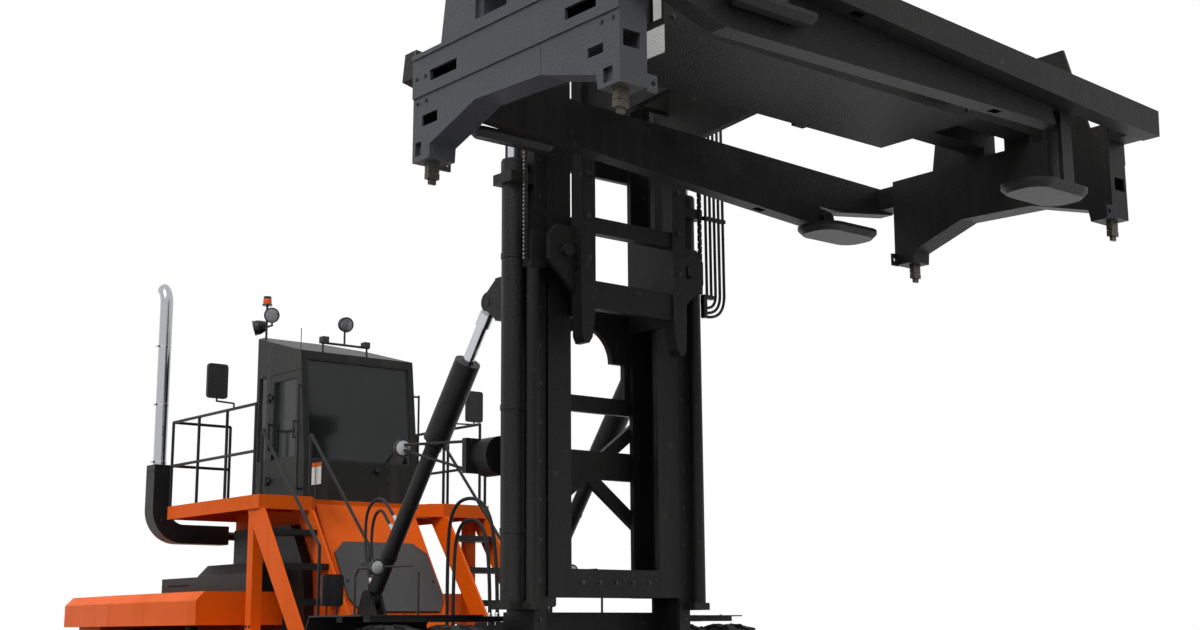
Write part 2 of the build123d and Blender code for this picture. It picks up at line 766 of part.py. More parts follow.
def make_platform():
    plate = prism_z(deck_outline(), (FASCIA_Z, DECK_Z))
    pocket = prism_z(inset(deck_outline(), FASCIA_WALL), (FASCIA_Z - 10, PEDESTAL_TOP_Z))
    pedestal_room = box(
        (PEDESTAL_REAR_X, PEDESTAL_TOP_X + 120), about(0, PEDESTAL_HALF), (FASCIA_Z - 10, PEDESTAL_TOP_Z)
    )
    post_x = DECK_FRONT_X - POST_SETBACK
    post_y = STAIR_Y[1] - STRINGER
    post = box(
        (post_x, post_x + POST_SIZE), (post_y - POST_SIZE, post_y), (TANK_Z[1], PEDESTAL_TOP_Z)
    )
    ribs = []
    for share in (0.3, 0.6):
        x = DECK_REAR_X + share * (DECK_FRONT_X - DECK_REAR_X)
        ribs.append(
            box((x, x + FASCIA_WALL), (PEDESTAL_HALF, DECK_HALF - 5), (FASCIA_Z + 40, PEDESTAL_TOP_Z + 5))
        )
    write("platform", joined(cut(plate, pocket, pedestal_room), both(post, ribs)))


def make_stairs():
    rear_lean, front_lean = STRINGER_LEAN
    rear_x, front_x = STRINGER_TOP_X
    drop = FASCIA_Z - LANDING_Z
    outline = [
        (rear_x, FASCIA_Z),
        (front_x, FASCIA_Z),
        (front_x + drop * front_lean, LANDING_Z),
        (rear_x + drop * rear_lean, LANDING_Z),
    ]
    stringers = []
    for y in (STAIR_Y[0], STAIR_Y[1] - STRINGER):
        stringers.append(prism_y(outline, (y, y + STRINGER)))
    write("stair_stringers", both(stringers))

    inside = (STAIR_Y[0] + STRINGER, STAIR_Y[1] - STRINGER)
    treads = []
    rise = (DECK_Z - LANDING_Z) / STAIR_RISERS
    for step in range(1, STAIR_RISERS):
        z = LANDING_Z + step * rise
        low = FASCIA_Z - z + TREAD_THICK
        treads.append(
            box((rear_x + low * rear_lean, front_x + low * front_lean - 70), inside, (z - TREAD_THICK, z))
        )
    landing = box(LANDING_X, (FRAME_HALF, LANDING_Y), (LANDING_Z - LANDING_THICK, LANDING_Z))
    ladder = []
    for x in (LANDING_X[0] + 60, LANDING_X[1] - 90):
        ladder.append(box((x, x + 30), (LANDING_Y - 60, LANDING_Y), (450, LANDING_Z - 5)))
    for z in (500, 800, 1100):
        ladder.append(
            rod((LANDING_X[0] + 70, LANDING_Y - 30, z), (LANDING_X[1] - 70, LANDING_Y - 30, z), 16)
        )
    write("stair_treads", both(treads, joined(landing, ladder)))


def tube_run(points, radius=RAIL_R):
    """Straight tubes from point to point, joined at their corners."""
    return [rod(points[k], points[k + 1], radius) for k in range(len(points) - 1)]


def railing_side():
    """The left side's railings on the platform and the stairs' handrails."""
    rear_x = DECK_REAR_X + 20
    front_x = DECK_FRONT_X - 160
    top = DECK_Z + RAIL_TOP
    mid = DECK_Z + RAIL_MID
    pieces = [
        tube_run(
            [(rear_x, 750, DECK_Z), (rear_x, 750, top), (rear_x, RAIL_Y, top), (front_x, RAIL_Y, top)]
        ),
        tube_run([(front_x, RAIL_Y, top), (front_x, RAIL_Y, DECK_Z)]),
        tube_run([(rear_x, 750, mid), (rear_x, RAIL_Y, mid), (front_x, RAIL_Y, mid)]),
        tube_run([(rear_x, RAIL_Y, DECK_Z), (rear_x, RAIL_Y, top)]),
    ]
    for share in (0.33, 0.67):
        x = rear_x + share * (front_x - rear_x)
        pieces.append(tube_run([(x, RAIL_Y, DECK_Z), (x, RAIL_Y, top)]))
    rail = joined(pieces)
    foot_x = LANDING_X[1] - 100
    hand = []
    for y in (STAIR_Y[0] + STRINGER / 2, STAIR_Y[1] - STRINGER / 2):
        hand.append(
            joined(
                tube_run(
                    [
                        (DECK_FRONT_X - 30, y, DECK_Z),
                        (DECK_FRONT_X - 30, y, 3680),
                        (foot_x, y, 2400),
                        (foot_x, y, LANDING_Z),
                    ]
                )
            )
        )
    return [rail, hand]


def make_railings():
    write("railings", both(railing_side()))


# Cab


def cab_profile():
    return [
        (CAB_REAR_X, DECK_Z),
        (CAB_FRONT_X, DECK_Z),
        (CAB_FRONT_X, CAB_SILL_Z),
        (CAB_HEAD_X, CAB_HEAD_Z),
        (CAB_HEAD_X - 10, CAB_BROW_Z),
        (CAB_REAR_X, CAB_ROOF_Z),
    ]


def cab_plan():
    return [
        (CAB_FRONT_X, -CAB_HALF),
        (CAB_FRONT_X, CAB_HALF),
        (CAB_CORNER_X, CAB_HALF),
        (CAB_REAR_X, CAB_CORNER_Y),
        (CAB_REAR_X, -CAB_CORNER_Y),
        (CAB_CORNER_X, -CAB_HALF),
    ]


def cab_form(depth=0.0):
    """The cab's outer form, or that form with every wall moved in by depth."""
    side = prism_y(inset(cab_profile(), depth), about(0, CAB_HALF - depth))
    plan = prism_z(inset(cab_plan(), depth), (DECK_Z, CAB_ROOF_Z + 10))
    return common(side, plan)


def window_tools():
    """What the windows cut: front, sides, rear corners and rear."""
    front = box(
        (CAB_HEAD_X - 200, CAB_FRONT_X + 20), about(0, CAB_HALF - 75), (CAB_SILL_Z + 20, CAB_HEAD_Z - 40)
    )
    left = box((DOOR_X[0] + 60, DOOR_X[1] - 40), (CAB_HALF - 80, CAB_HALF + 10), (CAB_SILL_Z + 20, 4420))
    quarter = [
        box((CAB_CORNER_X + 60, DOOR_X[0] - 90), (y, y + 90), (3500, 4480))
        for y in (CAB_HALF - 80, -CAB_HALF - 10)
    ]
    rear = box((CAB_REAR_X - 10, CAB_REAR_X + 90), about(0, CAB_CORNER_Y - 60), (3600, 4500))
    return [front, left, quarter, rear]


def door_opening():
    return box(DOOR_X, (-CAB_HALF - 10, -CAB_HALF + 80), DOOR_Z)


def hinge_heights():
    return (DOOR_Z[0] + 200, DOOR_Z[1] - 260)


def make_cab():
    room = cab_form(CAB_WALL)
    shell = cut(cab_form(), room, window_tools(), door_opening())
    pane = cut(cab_form(CAB_WALL / 2 - GLASS / 2), cab_form(CAB_WALL / 2 + GLASS / 2))
    glass = [common(pane, tool) for tool in flat(window_tools())]
    write("cab_glass", glass)

    hinge_x = DOOR_X[0] - DOOR_HINGE_OUT
    hinge_y = -CAB_HALF - DOOR_HINGE_OUT
    lugs = []
    for z in hinge_heights():
        for low in (z - 45, z + 25):
            lugs.append(box((hinge_x - 40, hinge_x), (hinge_y - 12, -CAB_HALF), (low, low + 20)))
            lugs.append(rod((hinge_x, hinge_y, low), (hinge_x, hinge_y, low + 20), 14))
        lugs.append(rod((hinge_x, hinge_y, z - 45), (hinge_x, hinge_y, z + 45), DOOR_PIN_R))
    write("cab_shell", joined(shell, lugs))

    gap = MOVING_GAP + 1
    leaf_x = (DOOR_X[0] + gap, DOOR_X[1] - gap)
    leaf_y = (-CAB_HALF, -CAB_HALF + DOOR_THICK)
    leaf_z = (DOOR_Z[0] + gap, DOOR_Z[1] - gap)
    leaf = box(leaf_x, leaf_y, leaf_z)
    pane_box = ((leaf_x[0] + 70, leaf_x[1] - 70), (leaf_z[0] + 430, leaf_z[1] - 80))
    window = box(pane_box[0], (leaf_y[0] - 5, leaf_y[1] + 5), pane_box[1])
    knuckles = []
    for z in hinge_heights():
        strap = box((hinge_x, leaf_x[0] + 60), (hinge_y - 6, -CAB_HALF), (z - 20, z + 20))
        barrel = rod((hinge_x, hinge_y, z - 20), (hinge_x, hinge_y, z + 20), 14)
        hole = rod((hinge_x, hinge_y, z - 30), (hinge_x, hinge_y, z + 30), DOOR_PIN_R + RUNNING_FIT)
        knuckles.append(cut(joined(strap, barrel), hole))
    handle_x = leaf_x[1] - 50
    handle = joined(
        rod((handle_x, -CAB_HALF - 35, 3700), (handle_x, -CAB_HALF - 35, 3900), 10),
        rod((handle_x, -CAB_HALF - 35, 3710), (handle_x, -CAB_HALF + 5, 3710), 8),
        rod((handle_x, -CAB_HALF - 35, 3890), (handle_x, -CAB_HALF + 5, 3890), 8),
    )
    write("cab_door", joined(cut(leaf, window), knuckles, handle))
    middle = (leaf_y[0] + leaf_y[1]) / 2
    write("cab_door_glass", box(pane_box[0], about(middle, GLASS / 2), pane_box[1]))


def make_seat():
    floor = DECK_Z + CAB_WALL
    back_x = CAB_REAR_X + 480
    base = box((back_x + 60, back_x + 460), (-190, 190), (floor, floor + 320))
    cushion = box((back_x + 20, back_x + 540), (-250, 250), (floor + 320, floor + 440))
    back = prism_y(
        [
            (back_x + 20, floor + 430),
            (back_x + 150, floor + 430),
            (back_x + 30, floor + 1080),
            (back_x - 80, floor + 1080),
        ],
        (-235, 235),
    )
    console = box((CAB_FRONT_X - 430, CAB_FRONT_X - 330), (-60, 60), (floor, floor + 620))
    wheel = rod((CAB_FRONT_X - 440, 0, floor + 640), (CAB_FRONT_X - 450, 0, floor + 670), 210)
    column = rod((CAB_FRONT_X - 380, 0, floor + 560), (CAB_FRONT_X - 443, 0, floor + 650), 25)
    write("cab_seat", joined(base, cushion, back), joined(console, wheel, column))


# Exhaust, lamps and mirrors


def make_exhaust():
    elbow_r = 2 * DUCT_HALF + 60
    run = Wire.make_polygon(
        [
            (STACK_X, DUCT_END_Y, DUCT_Z),
            (STACK_X, STACK_Y, DUCT_Z),
            (STACK_X, STACK_Y, STACK_Z[0]),
        ],
        close=False,
    )
    section = Plane(origin=(STACK_X, DUCT_END_Y, DUCT_Z), z_dir=(0, -1, 0)) * Rectangle(
        2 * DUCT_HALF, 2 * DUCT_HALF
    )
    duct = Solid.sweep(section.face(), path=run.fillet_2d(elbow_r, [run.vertices()[1]]))
    across = rod((STACK_X, DUCT_END_Y - 5, DUCT_Z), (STACK_X, PIPE_DROP_Y + PIPE_R, DUCT_Z), PIPE_R)
    down = rod((STACK_X, PIPE_DROP_Y, HOOD_LOW_TOP_Z), (STACK_X, PIPE_DROP_Y, DUCT_Z + 20), PIPE_R)
    write("exhaust_duct", joined(duct, across, down))

    bend_r = 220.0
    bend_z = STACK_Z[1] - 180
    tip = []
    for radius in (STACK_R, STACK_R - STACK_WALL):
        ring = Face(Wire.make_circle(radius, Plane(origin=(STACK_X, STACK_Y, bend_z))))
        tip.append(Solid.revolve(ring, 55, Axis((STACK_X - bend_r, STACK_Y, bend_z), (0, -1, 0))))
    outer = rod((STACK_X, STACK_Y, STACK_Z[0]), (STACK_X, STACK_Y, bend_z), STACK_R)
    inner = rod((STACK_X, STACK_Y, STACK_Z[0] + 100), (STACK_X, STACK_Y, bend_z), STACK_R - STACK_WALL)
    write("exhaust_stack", cut(joined(outer, tip[0]), inner, tip[1]))


def round_lamp(centre, facing, radius=75.0, depth=100.0):
    """A round work lamp: a bowl that widens to its front."""
    face = Vector(*facing).normalized()
    middle = Vector(*centre)
    bowl = Solid.make_cone(
        0.6 * radius, radius, 0.6 * depth, Plane(origin=middle - face * depth / 2, z_dir=face)
    )
    rim = Solid.make_cylinder(
        radius, 0.4 * depth + 0.1, Plane(origin=middle + face * (0.1 * depth - 0.1), z_dir=face)
    )
    return joined(bowl, rim)


def lamp_guard():
    """The bent tube on the left that guards the tilt cylinder's foot and carries a lamp."""
    x = TILT_BASE[0]
    y = TILT_Y + 100
    top = TILT_BASE[1] + 305
    toe_x = DRIVE_X - 880
    return tube_run(
        [
            (x - 155, y, 1600),
            (x - 155, y, top - 65),
            (x - 95, y, top),
            (toe_x - 80, y, top),
            (toe_x, y, top - 75),
            (toe_x, y, FENDER_SEAT_Z + 60),
        ],
        12,
    )


def make_lamps():
    roof = cab_form()
    pole_x = CAB_FRONT_X - 1246
    pole_y = -600
    beacon = joined(
        cut(rod((pole_x, pole_y, 4850), (pole_x, pole_y, 5420), 14), roof),
        rod((pole_x, pole_y, 5400), (pole_x, pole_y, 5415), 60),
        rod((pole_x, pole_y, 5410), (pole_x, pole_y, 5510), 47),
        rod((pole_x - 130, pole_y, 5140), (pole_x + 140, pole_y, 5140), 12),
        rod((pole_x + 130, pole_y, 5135), (pole_x + 130, pole_y, 5200), 12),
        round_lamp((pole_x + 130, pole_y, 5260), (1, -0.7, -0.15), 88),
        round_lamp((pole_x - 160, pole_y, 5165), (-0.6, -1, -0.3), 88, 150),
    )
    head_x = CAB_HEAD_X - 60
    bar_z = CAB_BROW_Z + 120
    front = joined(
        tube_run([(head_x, -471, bar_z), (head_x, 175, bar_z)], 14),
        [cut(rod((head_x, y, bar_z - 200), (head_x, y, bar_z), 12), roof) for y in (-440, 145)],
        box(about(head_x, 45), (-465, -385), (bar_z - 5, bar_z + 70)),
        box(about(head_x, 45), (90, 165), (bar_z - 5, bar_z + 60)),
        rod((head_x, -156, bar_z), (head_x, -156, bar_z + 190), 12),
        round_lamp((head_x, -156, bar_z + 245), (1, -0.15, -0.25), 85),
    )
    antenna = cut(rod((head_x - 60, -690, 4600), (head_x - 60, -690, CAB_BROW_Z + 270), 5), roof)
    base = [lamp_guard(), round_lamp((TILT_BASE[0] + 338, TILT_Y + 187, TILT_BASE[1] + 306), (1, 0, -0.1))]
    write("lamps", beacon, front, antenna, both(joined(base)))


def make_mirrors():
    x = DECK_FRONT_X - 620
    top = DECK_Z + RAIL_TOP
    rails = joined(flat(railing_side()[:1]))
    arm = tube_run([(x - 60, RAIL_Y, top), (x - 60, RAIL_Y, top + 60), (x, RAIL_Y + 240, top + 60)], 10)
    post = tube_run([(x, RAIL_Y + 240, top + 60), (x, RAIL_Y + 240, top + 120)], 10)
    housing = box((x - 20, x + 20), about(RAIL_Y + 240, 120), (top + 90, top + 470))
    housing = housing.fillet(35, [edge for edge in housing.edges() if abs(edge.tangent_at(0.5).X) > 0.9])
    high = cut(joined(arm, post, housing), rails)

    low_x = TILT_BASE[0] - 225
    low_y = TILT_Y + 320
    low_z = TILT_BASE[1] - 60
    shell = box((low_x - 20, low_x + 20), about(low_y, 118), (low_z, low_z + 310))
    shell = shell.fillet(35, [edge for edge in shell.edges() if abs(edge.tangent_at(0.5).X) > 0.9])
    legs = [
        tube_run([(low_x, low_y - 60, LANDING_Z), (low_x, low_y - 60, low_z + 10)], 10),
        tube_run([(low_x, low_y + 60, LANDING_Z), (low_x, low_y + 60, low_z + 10)], 10),
    ]
    write("mirrors", both(high, joined(shell, legs)))


# Mast


def make_outer_mast():
    flange_x = (
        (COLUMN_BACK_X, COLUMN_BACK_X + COLUMN_WALL),
        (COLUMN_FRONT_X - COLUMN_WALL, COLUMN_FRONT_X),
    )
    web = box((COLUMN_BACK_X, COLUMN_FRONT_X), (COLUMN_OUTER_Y - COLUMN_WALL, COLUMN_OUTER_Y), COLUMN_Z)
    flanges = [box(x, (COLUMN_INNER_Y, COLUMN_OUTER_Y - 5), COLUMN_Z) for x in flange_x]
    pads = []
    for x in (
        (flange_x[0][1] - 1, flange_x[0][1] + MOVING_GAP - SEAT_GAP),
        (flange_x[1][0] - MOVING_GAP + SEAT_GAP, flange_x[1][0] + 1),
    ):
        pads.append(
            box(
                x,
                (COLUMN_INNER_Y + 10, COLUMN_OUTER_Y - COLUMN_WALL - 10),
                (COLUMN_Z[1] - 160, COLUMN_Z[1]),
            ),
        )
    foot = prism_y(
        [
            (PIVOT_X, PIVOT_Z - PIVOT_LUG_R),
            (COLUMN_FRONT_X, COLUMN_Z[0]),
            (COLUMN_FRONT_X, 900),
            (COLUMN_BACK_X + 95, 900),
            (PIVOT_X + 50, PIVOT_Z + 80),
        ],
        (COLUMN_OUTER_Y - 5, COLUMN_OUTER_Y + 65),
    )
    eye = rod((PIVOT_X, COLUMN_OUTER_Y, PIVOT_Z), (PIVOT_X, COLUMN_OUTER_Y + 65, PIVOT_Z), PIVOT_LUG_R)
    bore = rod(
        (PIVOT_X, COLUMN_INNER_Y, PIVOT_Z), (PIVOT_X, COLUMN_OUTER_Y + 100, PIVOT_Z), PIVOT_R + RUNNING_FIT
    )
    lift_z = LIFT_BARREL_Z[0]
    base = box((LIFT_X - 140, LIFT_X + 140), (COLUMN_OUTER_Y - 5, LIFT_Y + 140), (lift_z - 60, lift_z))
    head = box((LIFT_X - 140, LIFT_X + 140), (COLUMN_OUTER_Y - 5, LIFT_Y + 140), (5600, 5700))
    barrel_hole = rod((LIFT_X, LIFT_Y, 5500), (LIFT_X, LIFT_Y, 5800), LIFT_BARREL_R + SEAT_GAP)
    post = rod((POST_X, POST_Y, lift_z), (POST_X, POST_Y, 4810), POST_R)
    post_foot = box(
        (COLUMN_FRONT_X - 5, POST_X + 65), (COLUMN_OUTER_Y - 60, POST_Y + 65), (lift_z - 60, lift_z + 5)
    )
    anchor = box(
        (COLUMN_FRONT_X - 5, POST_X + 60), (COLUMN_OUTER_Y - 60, CHAIN_Y[0] - MOVING_GAP - 2), (4800, 5130)
    )
    eye_x, eye_z = TILT_EYE
    bracket = box(
        (COLUMN_BACK_X, COLUMN_BACK_X + 125), (COLUMN_OUTER_Y - 5, TILT_Y + 60), about(eye_z, 200)
    )
    lugs = []
    for y in ((TILT_Y - 60, TILT_Y - 30), (TILT_Y + 30, TILT_Y + 60)):
        lugs.append(
            prism_y(
                [
                    (eye_x, eye_z - 90),
                    (COLUMN_BACK_X + 5, eye_z - 190),
                    (COLUMN_BACK_X + 5, eye_z + 190),
                    (eye_x, eye_z + 90),
                ],
                y,
            ),
        )
        lugs.append(rod((eye_x, y[0], eye_z), (eye_x, y[1], eye_z), 90))
    pin = rod((eye_x, TILT_Y - 65, eye_z), (eye_x, TILT_Y + 65, eye_z), TILT_EYE_PIN_R)
    column = cut(
        joined(web, flanges, pads, foot, eye, base, head, post, post_foot, anchor, bracket, lugs, pin),
        bore,
        barrel_hole,
    )
    member_x = (MEMBER_BACK_X, COLUMN_BACK_X + 1)
    span = about(0, COLUMN_OUTER_Y)
    members = [
        box(member_x, span, (1250, 1720)),
        box(member_x, span, (1854, 2096)),
        box(member_x, span, (2965, 3233)),
        box(member_x, span, (5950, 6250)),
    ]
    arch = cut(
        box(member_x, span, (3600, 4720)),
        box((member_x[0] - 10, member_x[1] + 10), (-480, 480), (3756, 4100)),
        rod((member_x[0] - 10, 0, 4100), (member_x[1] + 10, 0, 4100), 320),
        box((member_x[0] - 10, member_x[1] + 10), (-480, 480), (4090, 4100)),
    )
    brace_z = (2420, 3610)
    half_bar = 75
    braces = []
    for side in (1, -1):
        braces.append(
            prism_x(
                [
                    (-side * 800, brace_z[0] - half_bar),
                    (side * 800, brace_z[1] - half_bar),
                    (side * 800, brace_z[1] + half_bar),
                    (-side * 800, brace_z[0] + half_bar),
                ],
                member_x,
            )
        )
    write("mast_outer", joined(both(column), members, arch, braces))

    tube = cut(
        rod((LIFT_X, LIFT_Y, LIFT_BARREL_Z[0]), (LIFT_X, LIFT_Y, LIFT_BARREL_Z[1]), LIFT_BARREL_R),
        rod(
            (LIFT_X, LIFT_Y, LIFT_BARREL_Z[0] + 100),
            (LIFT_X, LIFT_Y, LIFT_BARREL_Z[1] + 10),
            LIFT_ROD_R + RUNNING_FIT,
        ),
    )
    write("lift_barrels", both(tube))


def make_mast_lamp():
    """The drum behind the right column, and the lamp on two arms that it carries."""
    drum_x = MEMBER_BACK_X - DRUM_LENGTH
    drum = rod((drum_x, DRUM_Y, DRUM_Z), (MEMBER_BACK_X, DRUM_Y, DRUM_Z), DRUM_R)
    plate = box((drum_x - 60, drum_x + 5), (ARM_OUT_Y - 15, DRUM_Y), (DRUM_Z - 150, DRUM_Z + 170))
    lamp_x = DRIVE_X - 1135
    lamp_z = DRUM_Z + 175
    arms = [
        rod((drum_x - 50, ARM_OUT_Y, DRUM_Z + 140), (lamp_x + 40, ARM_OUT_Y, lamp_z + 25), 14),
        rod((drum_x - 50, ARM_OUT_Y, DRUM_Z - 110), (lamp_x + 40, ARM_OUT_Y, lamp_z - 25), 14),
    ]
    write(
        "mast_lamp",
        joined(drum, plate, arms, round_lamp((lamp_x, ARM_OUT_Y, lamp_z), (1, -0.25, -0.1), 83)),
    )


def make_inner_mast():
    web = box((INNER_BACK_X[0], INNER_FRONT_X[0] + 30), INNER_WEB_Y, INNER_Z)
    back = box(INNER_BACK_X, (INNER_FLANGE_Y, INNER_WEB_Y[1] - 5), INNER_Z)
    front = box(INNER_FRONT_X, (INNER_FLANGE_Y, INNER_WEB_Y[1]), INNER_Z)
    lip_x = (
        (COLUMN_BACK_X + COLUMN_WALL + MOVING_GAP, COLUMN_BACK_X + COLUMN_WALL + MOVING_GAP + 30),
        (COLUMN_FRONT_X - COLUMN_WALL - MOVING_GAP - 30, COLUMN_FRONT_X - COLUMN_WALL - MOVING_GAP),
    )
    lip_y = (INNER_WEB_Y[1] - 5, COLUMN_OUTER_Y - COLUMN_WALL - MOVING_GAP)
    lips = [box(x, lip_y, INNER_Z) for x in lip_x]
    pads = [
        box(
            (lip_x[0][0] - MOVING_GAP + SEAT_GAP, lip_x[0][0] + 1),
            (lip_y[0] + 20, lip_y[1]),
            (INNER_Z[0], INNER_Z[0] + 150),
        ),
        box(
            (lip_x[1][1] - 1, lip_x[1][1] + MOVING_GAP - SEAT_GAP),
            (lip_y[0] + 20, lip_y[1]),
            (INNER_Z[0], INNER_Z[0] + 150),
        ),
    ]
    low_member = box(INNER_FRONT_X, about(0, INNER_FLANGE_Y + 5), (INNER_Z[0], INNER_Z[0] + 250))
    top_member = box(INNER_BACK_X, about(0, INNER_FLANGE_Y + 5), (INNER_Z[1] - 300, INNER_Z[1]))
    crosshead = box((LIFT_X - 160, LIFT_X + 160), about(0, LIFT_Y + 90), (INNER_Z[1], CROSSHEAD_TOP_Z))
    chain_block = box(
        (LIFT_X, POST_X + 50), (CHAIN_Y[0] - 60, CHAIN_Y[1] + 38), (INNER_Z[1], CROSSHEAD_TOP_Z)
    )
    column = joined(web, back, front, lips, pads)
    write("mast_inner", joined(both(column), low_member, top_member, crosshead, both(chain_block)))

    write(
        "lift_rods", both(rod((LIFT_X, LIFT_Y, LIFT_ROD_LOW_Z), (LIFT_X, LIFT_Y, INNER_Z[1]), LIFT_ROD_R))
    )

    strand = box(about(POST_X, 20), CHAIN_Y, (4870, INNER_Z[1]))
    write("lift_chains", both(strand))

    hoses = [
        rod((COLUMN_FRONT_X + 10, y, 4600), (COLUMN_FRONT_X + 10, y, INNER_Z[1]), 15)
        for y in range(1230, 1480, 60)
    ]
    clamp = box((COLUMN_FRONT_X - 15, COLUMN_FRONT_X + 35), (1205, 1500), (4590, 4650))
    carrier = box(
        (COLUMN_FRONT_X - 20, COLUMN_FRONT_X + 40), (LIFT_Y + 90, 1500), (INNER_Z[1], INNER_Z[1] + 60)
    )
    write("mast_hoses", joined(hoses, clamp, carrier))


def make_carriage():
    x0, x1 = UPRIGHT_X
    y0, y1 = UPRIGHT_Y
    low, high = UPRIGHT_Z
    upright = prism_x(
        [
            (y0, 4450),
            (y0 + 40, low + 60),
            (y0 + 80, low),
            (y1 - 40, low),
            (y1 - 10, low + 60),
            (y1, 4450),
            (y1, high),
            (y0, high),
        ],
        UPRIGHT_X,
    )
    members = [
        box((x0 + 20, x1 - 20), about(0, y0 + 5), (4440, 4700)),
        box((x0 + 20, x1 - 20), about(0, y0 + 5), (5150, 5300)),
        box((x0 + 20, x1 - 20), about(0, y0 + 5), (high - 290, high)),
    ]
    cheek = box((ROLLER_X - 140, x0 + 5), (y0 + 5, y0 + 45), (4400, 5350))
    rollers = [
        rod((ROLLER_X, y0 + 40, z), (ROLLER_X, INNER_WEB_Y[0] - MOVING_GAP, z), ROLLER_R) for z in ROLLER_Z
    ]
    ear = prism_x(
        [(y1 - 5, 4560), (y1 - 5, 5190), (870, 5190), (956, 5080), (956, 4860), (870, 4760)],
        (x0 + 10, x0 + 60)
    )
    boss = rod((x0 + 5, 760, 4955), (x0 + 110, 760, 4955), 60)
    arm = prism_y(
        [
            (x1 - 5, TIP_Z + 1150),
            (x1 - 5, TIP_Z + 1800),
            (SHIFT_BAR_X[0] + 5, SHIFT_BAR_Z[1] - 20),
            (SHIFT_BAR_X[0] + 5, SHIFT_BAR_Z[0] + 20),
        ],
        ARM_Y,
    )
    bar = box(SHIFT_BAR_X, about(0, SHIFT_BAR_Y), SHIFT_BAR_Z)
    write("carriage", joined(both(upright, cheek, rollers, ear, boss, arm), members, bar))


def make_tilt_cylinders():
    base = Vector(TILT_BASE[0], TILT_Y, TILT_BASE[1])
    eye = Vector(TILT_EYE[0], TILT_Y, TILT_EYE[1])
    length = (eye - base).length
    along = (eye - base).normalized()

    def at(share):
        return tuple(eye - along * (share * length))

    gland, waist, rod_end = 0.19, 0.45, 0.36
    barrel = joined(
        rod(at(gland), at(waist), TILT_BARREL_R),
        rod(at(waist - 0.01), at(0.963), TILT_TUBE_R),
        rod(at(0.96), at(0.985), 34),
        rod((base.X, TILT_Y - 35, base.Z), (base.X, TILT_Y + 35, base.Z), 92),
    )
    barrel = cut(
        barrel,
        rod(at(gland - 0.01), at(waist - 0.005), TILT_ROD_R + RUNNING_FIT),
        rod((base.X, TILT_Y - 40, base.Z), (base.X, TILT_Y + 40, base.Z), TILT_BASE_PIN_R + RUNNING_FIT),
    )
    across = Vector(along.Z, 0, -along.X)
    tongue = []
    for back, side in ((65, 60), (120, 60), (120, -60), (65, -60)):
        corner = eye - along * back + across * side
        tongue.append((corner.X, corner.Z))
    stem = joined(
        prism_y(tongue, about(TILT_Y, 25)),
        rod(at(0.034), at(0.075), 70),
        rod(at(0.07), at(rod_end), TILT_ROD_R),
        rod((eye.X, TILT_Y - 25, eye.Z), (eye.X, TILT_Y + 25, eye.Z), 90),
    )
    stem = cut(
        stem,
        rod((eye.X, TILT_Y - 40, eye.Z), (eye.X, TILT_Y + 40, eye.Z), TILT_EYE_PIN_R + TILT_EYE_PLAY),
    )
    write("tilt_barrel_left", barrel)
    write("tilt_barrel_right", mirrored(barrel))
    write("tilt_rod_left", stem)
    write("tilt_rod_right", mirrored(stem))


# Spreader


def placed(piece):
    """A piece drawn about the spreader's centre and twistlock tips, moved to its place."""
    return piece.moved(Location((SPREADER_X, 0, TIP_Z)))


def make_spreader_frame():
    form = box(BOX_X, about(0, BOX_Y), BOX_Z)
    room = box(
        (BOX_X[0] + BOX_WALL, BOX_X[1] - BOX_WALL),
        about(0, BOX_Y + 10),
        (BOX_Z[0] + BOX_WALL, BOX_Z[1] - BOX_WALL),
    )
    frame = cut(form, room)
    pads = []
    for y in ((BOX_Y - 150, BOX_Y), (-BOX_Y, 150 - BOX_Y)):
        for z in (
            (BOX_Z[0] + BOX_WALL - 1, TELE_Z[0] - SEAT_GAP),
            (TELE_Z[1] + SEAT_GAP, BOX_Z[1] - BOX_WALL + 1),
        ):
            pads.append(box((BOX_X[0] + 10, BOX_X[1] - 10), y, z))
    holes = [
        rod((BOX_X[1] - 60, y, 1460), (BOX_X[1] + 10, y, 1460), 110) for y in range(-1500, 1501, 500)
    ]
    claws = []
    bar_x = (SHIFT_BAR_X[0] - SPREADER_X, SHIFT_BAR_X[1] - SPREADER_X)
    bar_z = (SHIFT_BAR_Z[0] - TIP_Z, SHIFT_BAR_Z[1] - TIP_Z)
    hook_x = (bar_x[0] - 60, BOX_X[0] + 5)
    lip_x = (bar_x[0] - 60, bar_x[0] - SEAT_GAP)
    for y in (CLAW_Y, (-CLAW_Y[1], -CLAW_Y[0])):
        claws += [
            box(hook_x, y, (bar_z[1] + SEAT_GAP, bar_z[1] + 70)),
            box(hook_x, y, (bar_z[0] - 70, bar_z[0] - SEAT_GAP)),
            box(lip_x, y, (bar_z[1] - 80, bar_z[1] + 10)),
            box(lip_x, y, (bar_z[0] - 10, bar_z[0] + 80)),
        ]
    write("spreader_frame", placed(joined(cut(frame, holes), pads, claws)))


def end_outline():
    return [
        (-1260, 180),
        (-1030, 180),
        (-1020, 290),
        (-420, 490),
        (380, 460),
        (990, 290),
        (1010, 180),
        (1240, 180),
        (1240, 1050),
        (-1250, 1050),
    ]


def leg_pins(side):
    """The brackets and pins that hold the legs of one end, drawn on the left side."""
    pieces = []
    for name, hinge_side, lane, hinge_z, *rest in LEGS:
        if hinge_side != side:
            continue
        front = lane[0] > 0
        face = 1240 if front else -1250
        near = min(lane, key=abs)
        far = max(lane, key=abs)
        toward = 1 if front else -1
        bracket_x = sorted((face - toward * 5, near - toward * MOVING_GAP))
        pieces.append(box(bracket_x, (LEG_HINGE_Y - 110, END_OUTER_Y - 30), about(hinge_z, 110)))
        pieces.append(
            rod((face - toward * 40, LEG_HINGE_Y, hinge_z), (far, LEG_HINGE_Y, hinge_z), LEG_PIN_R)
        )
    return pieces


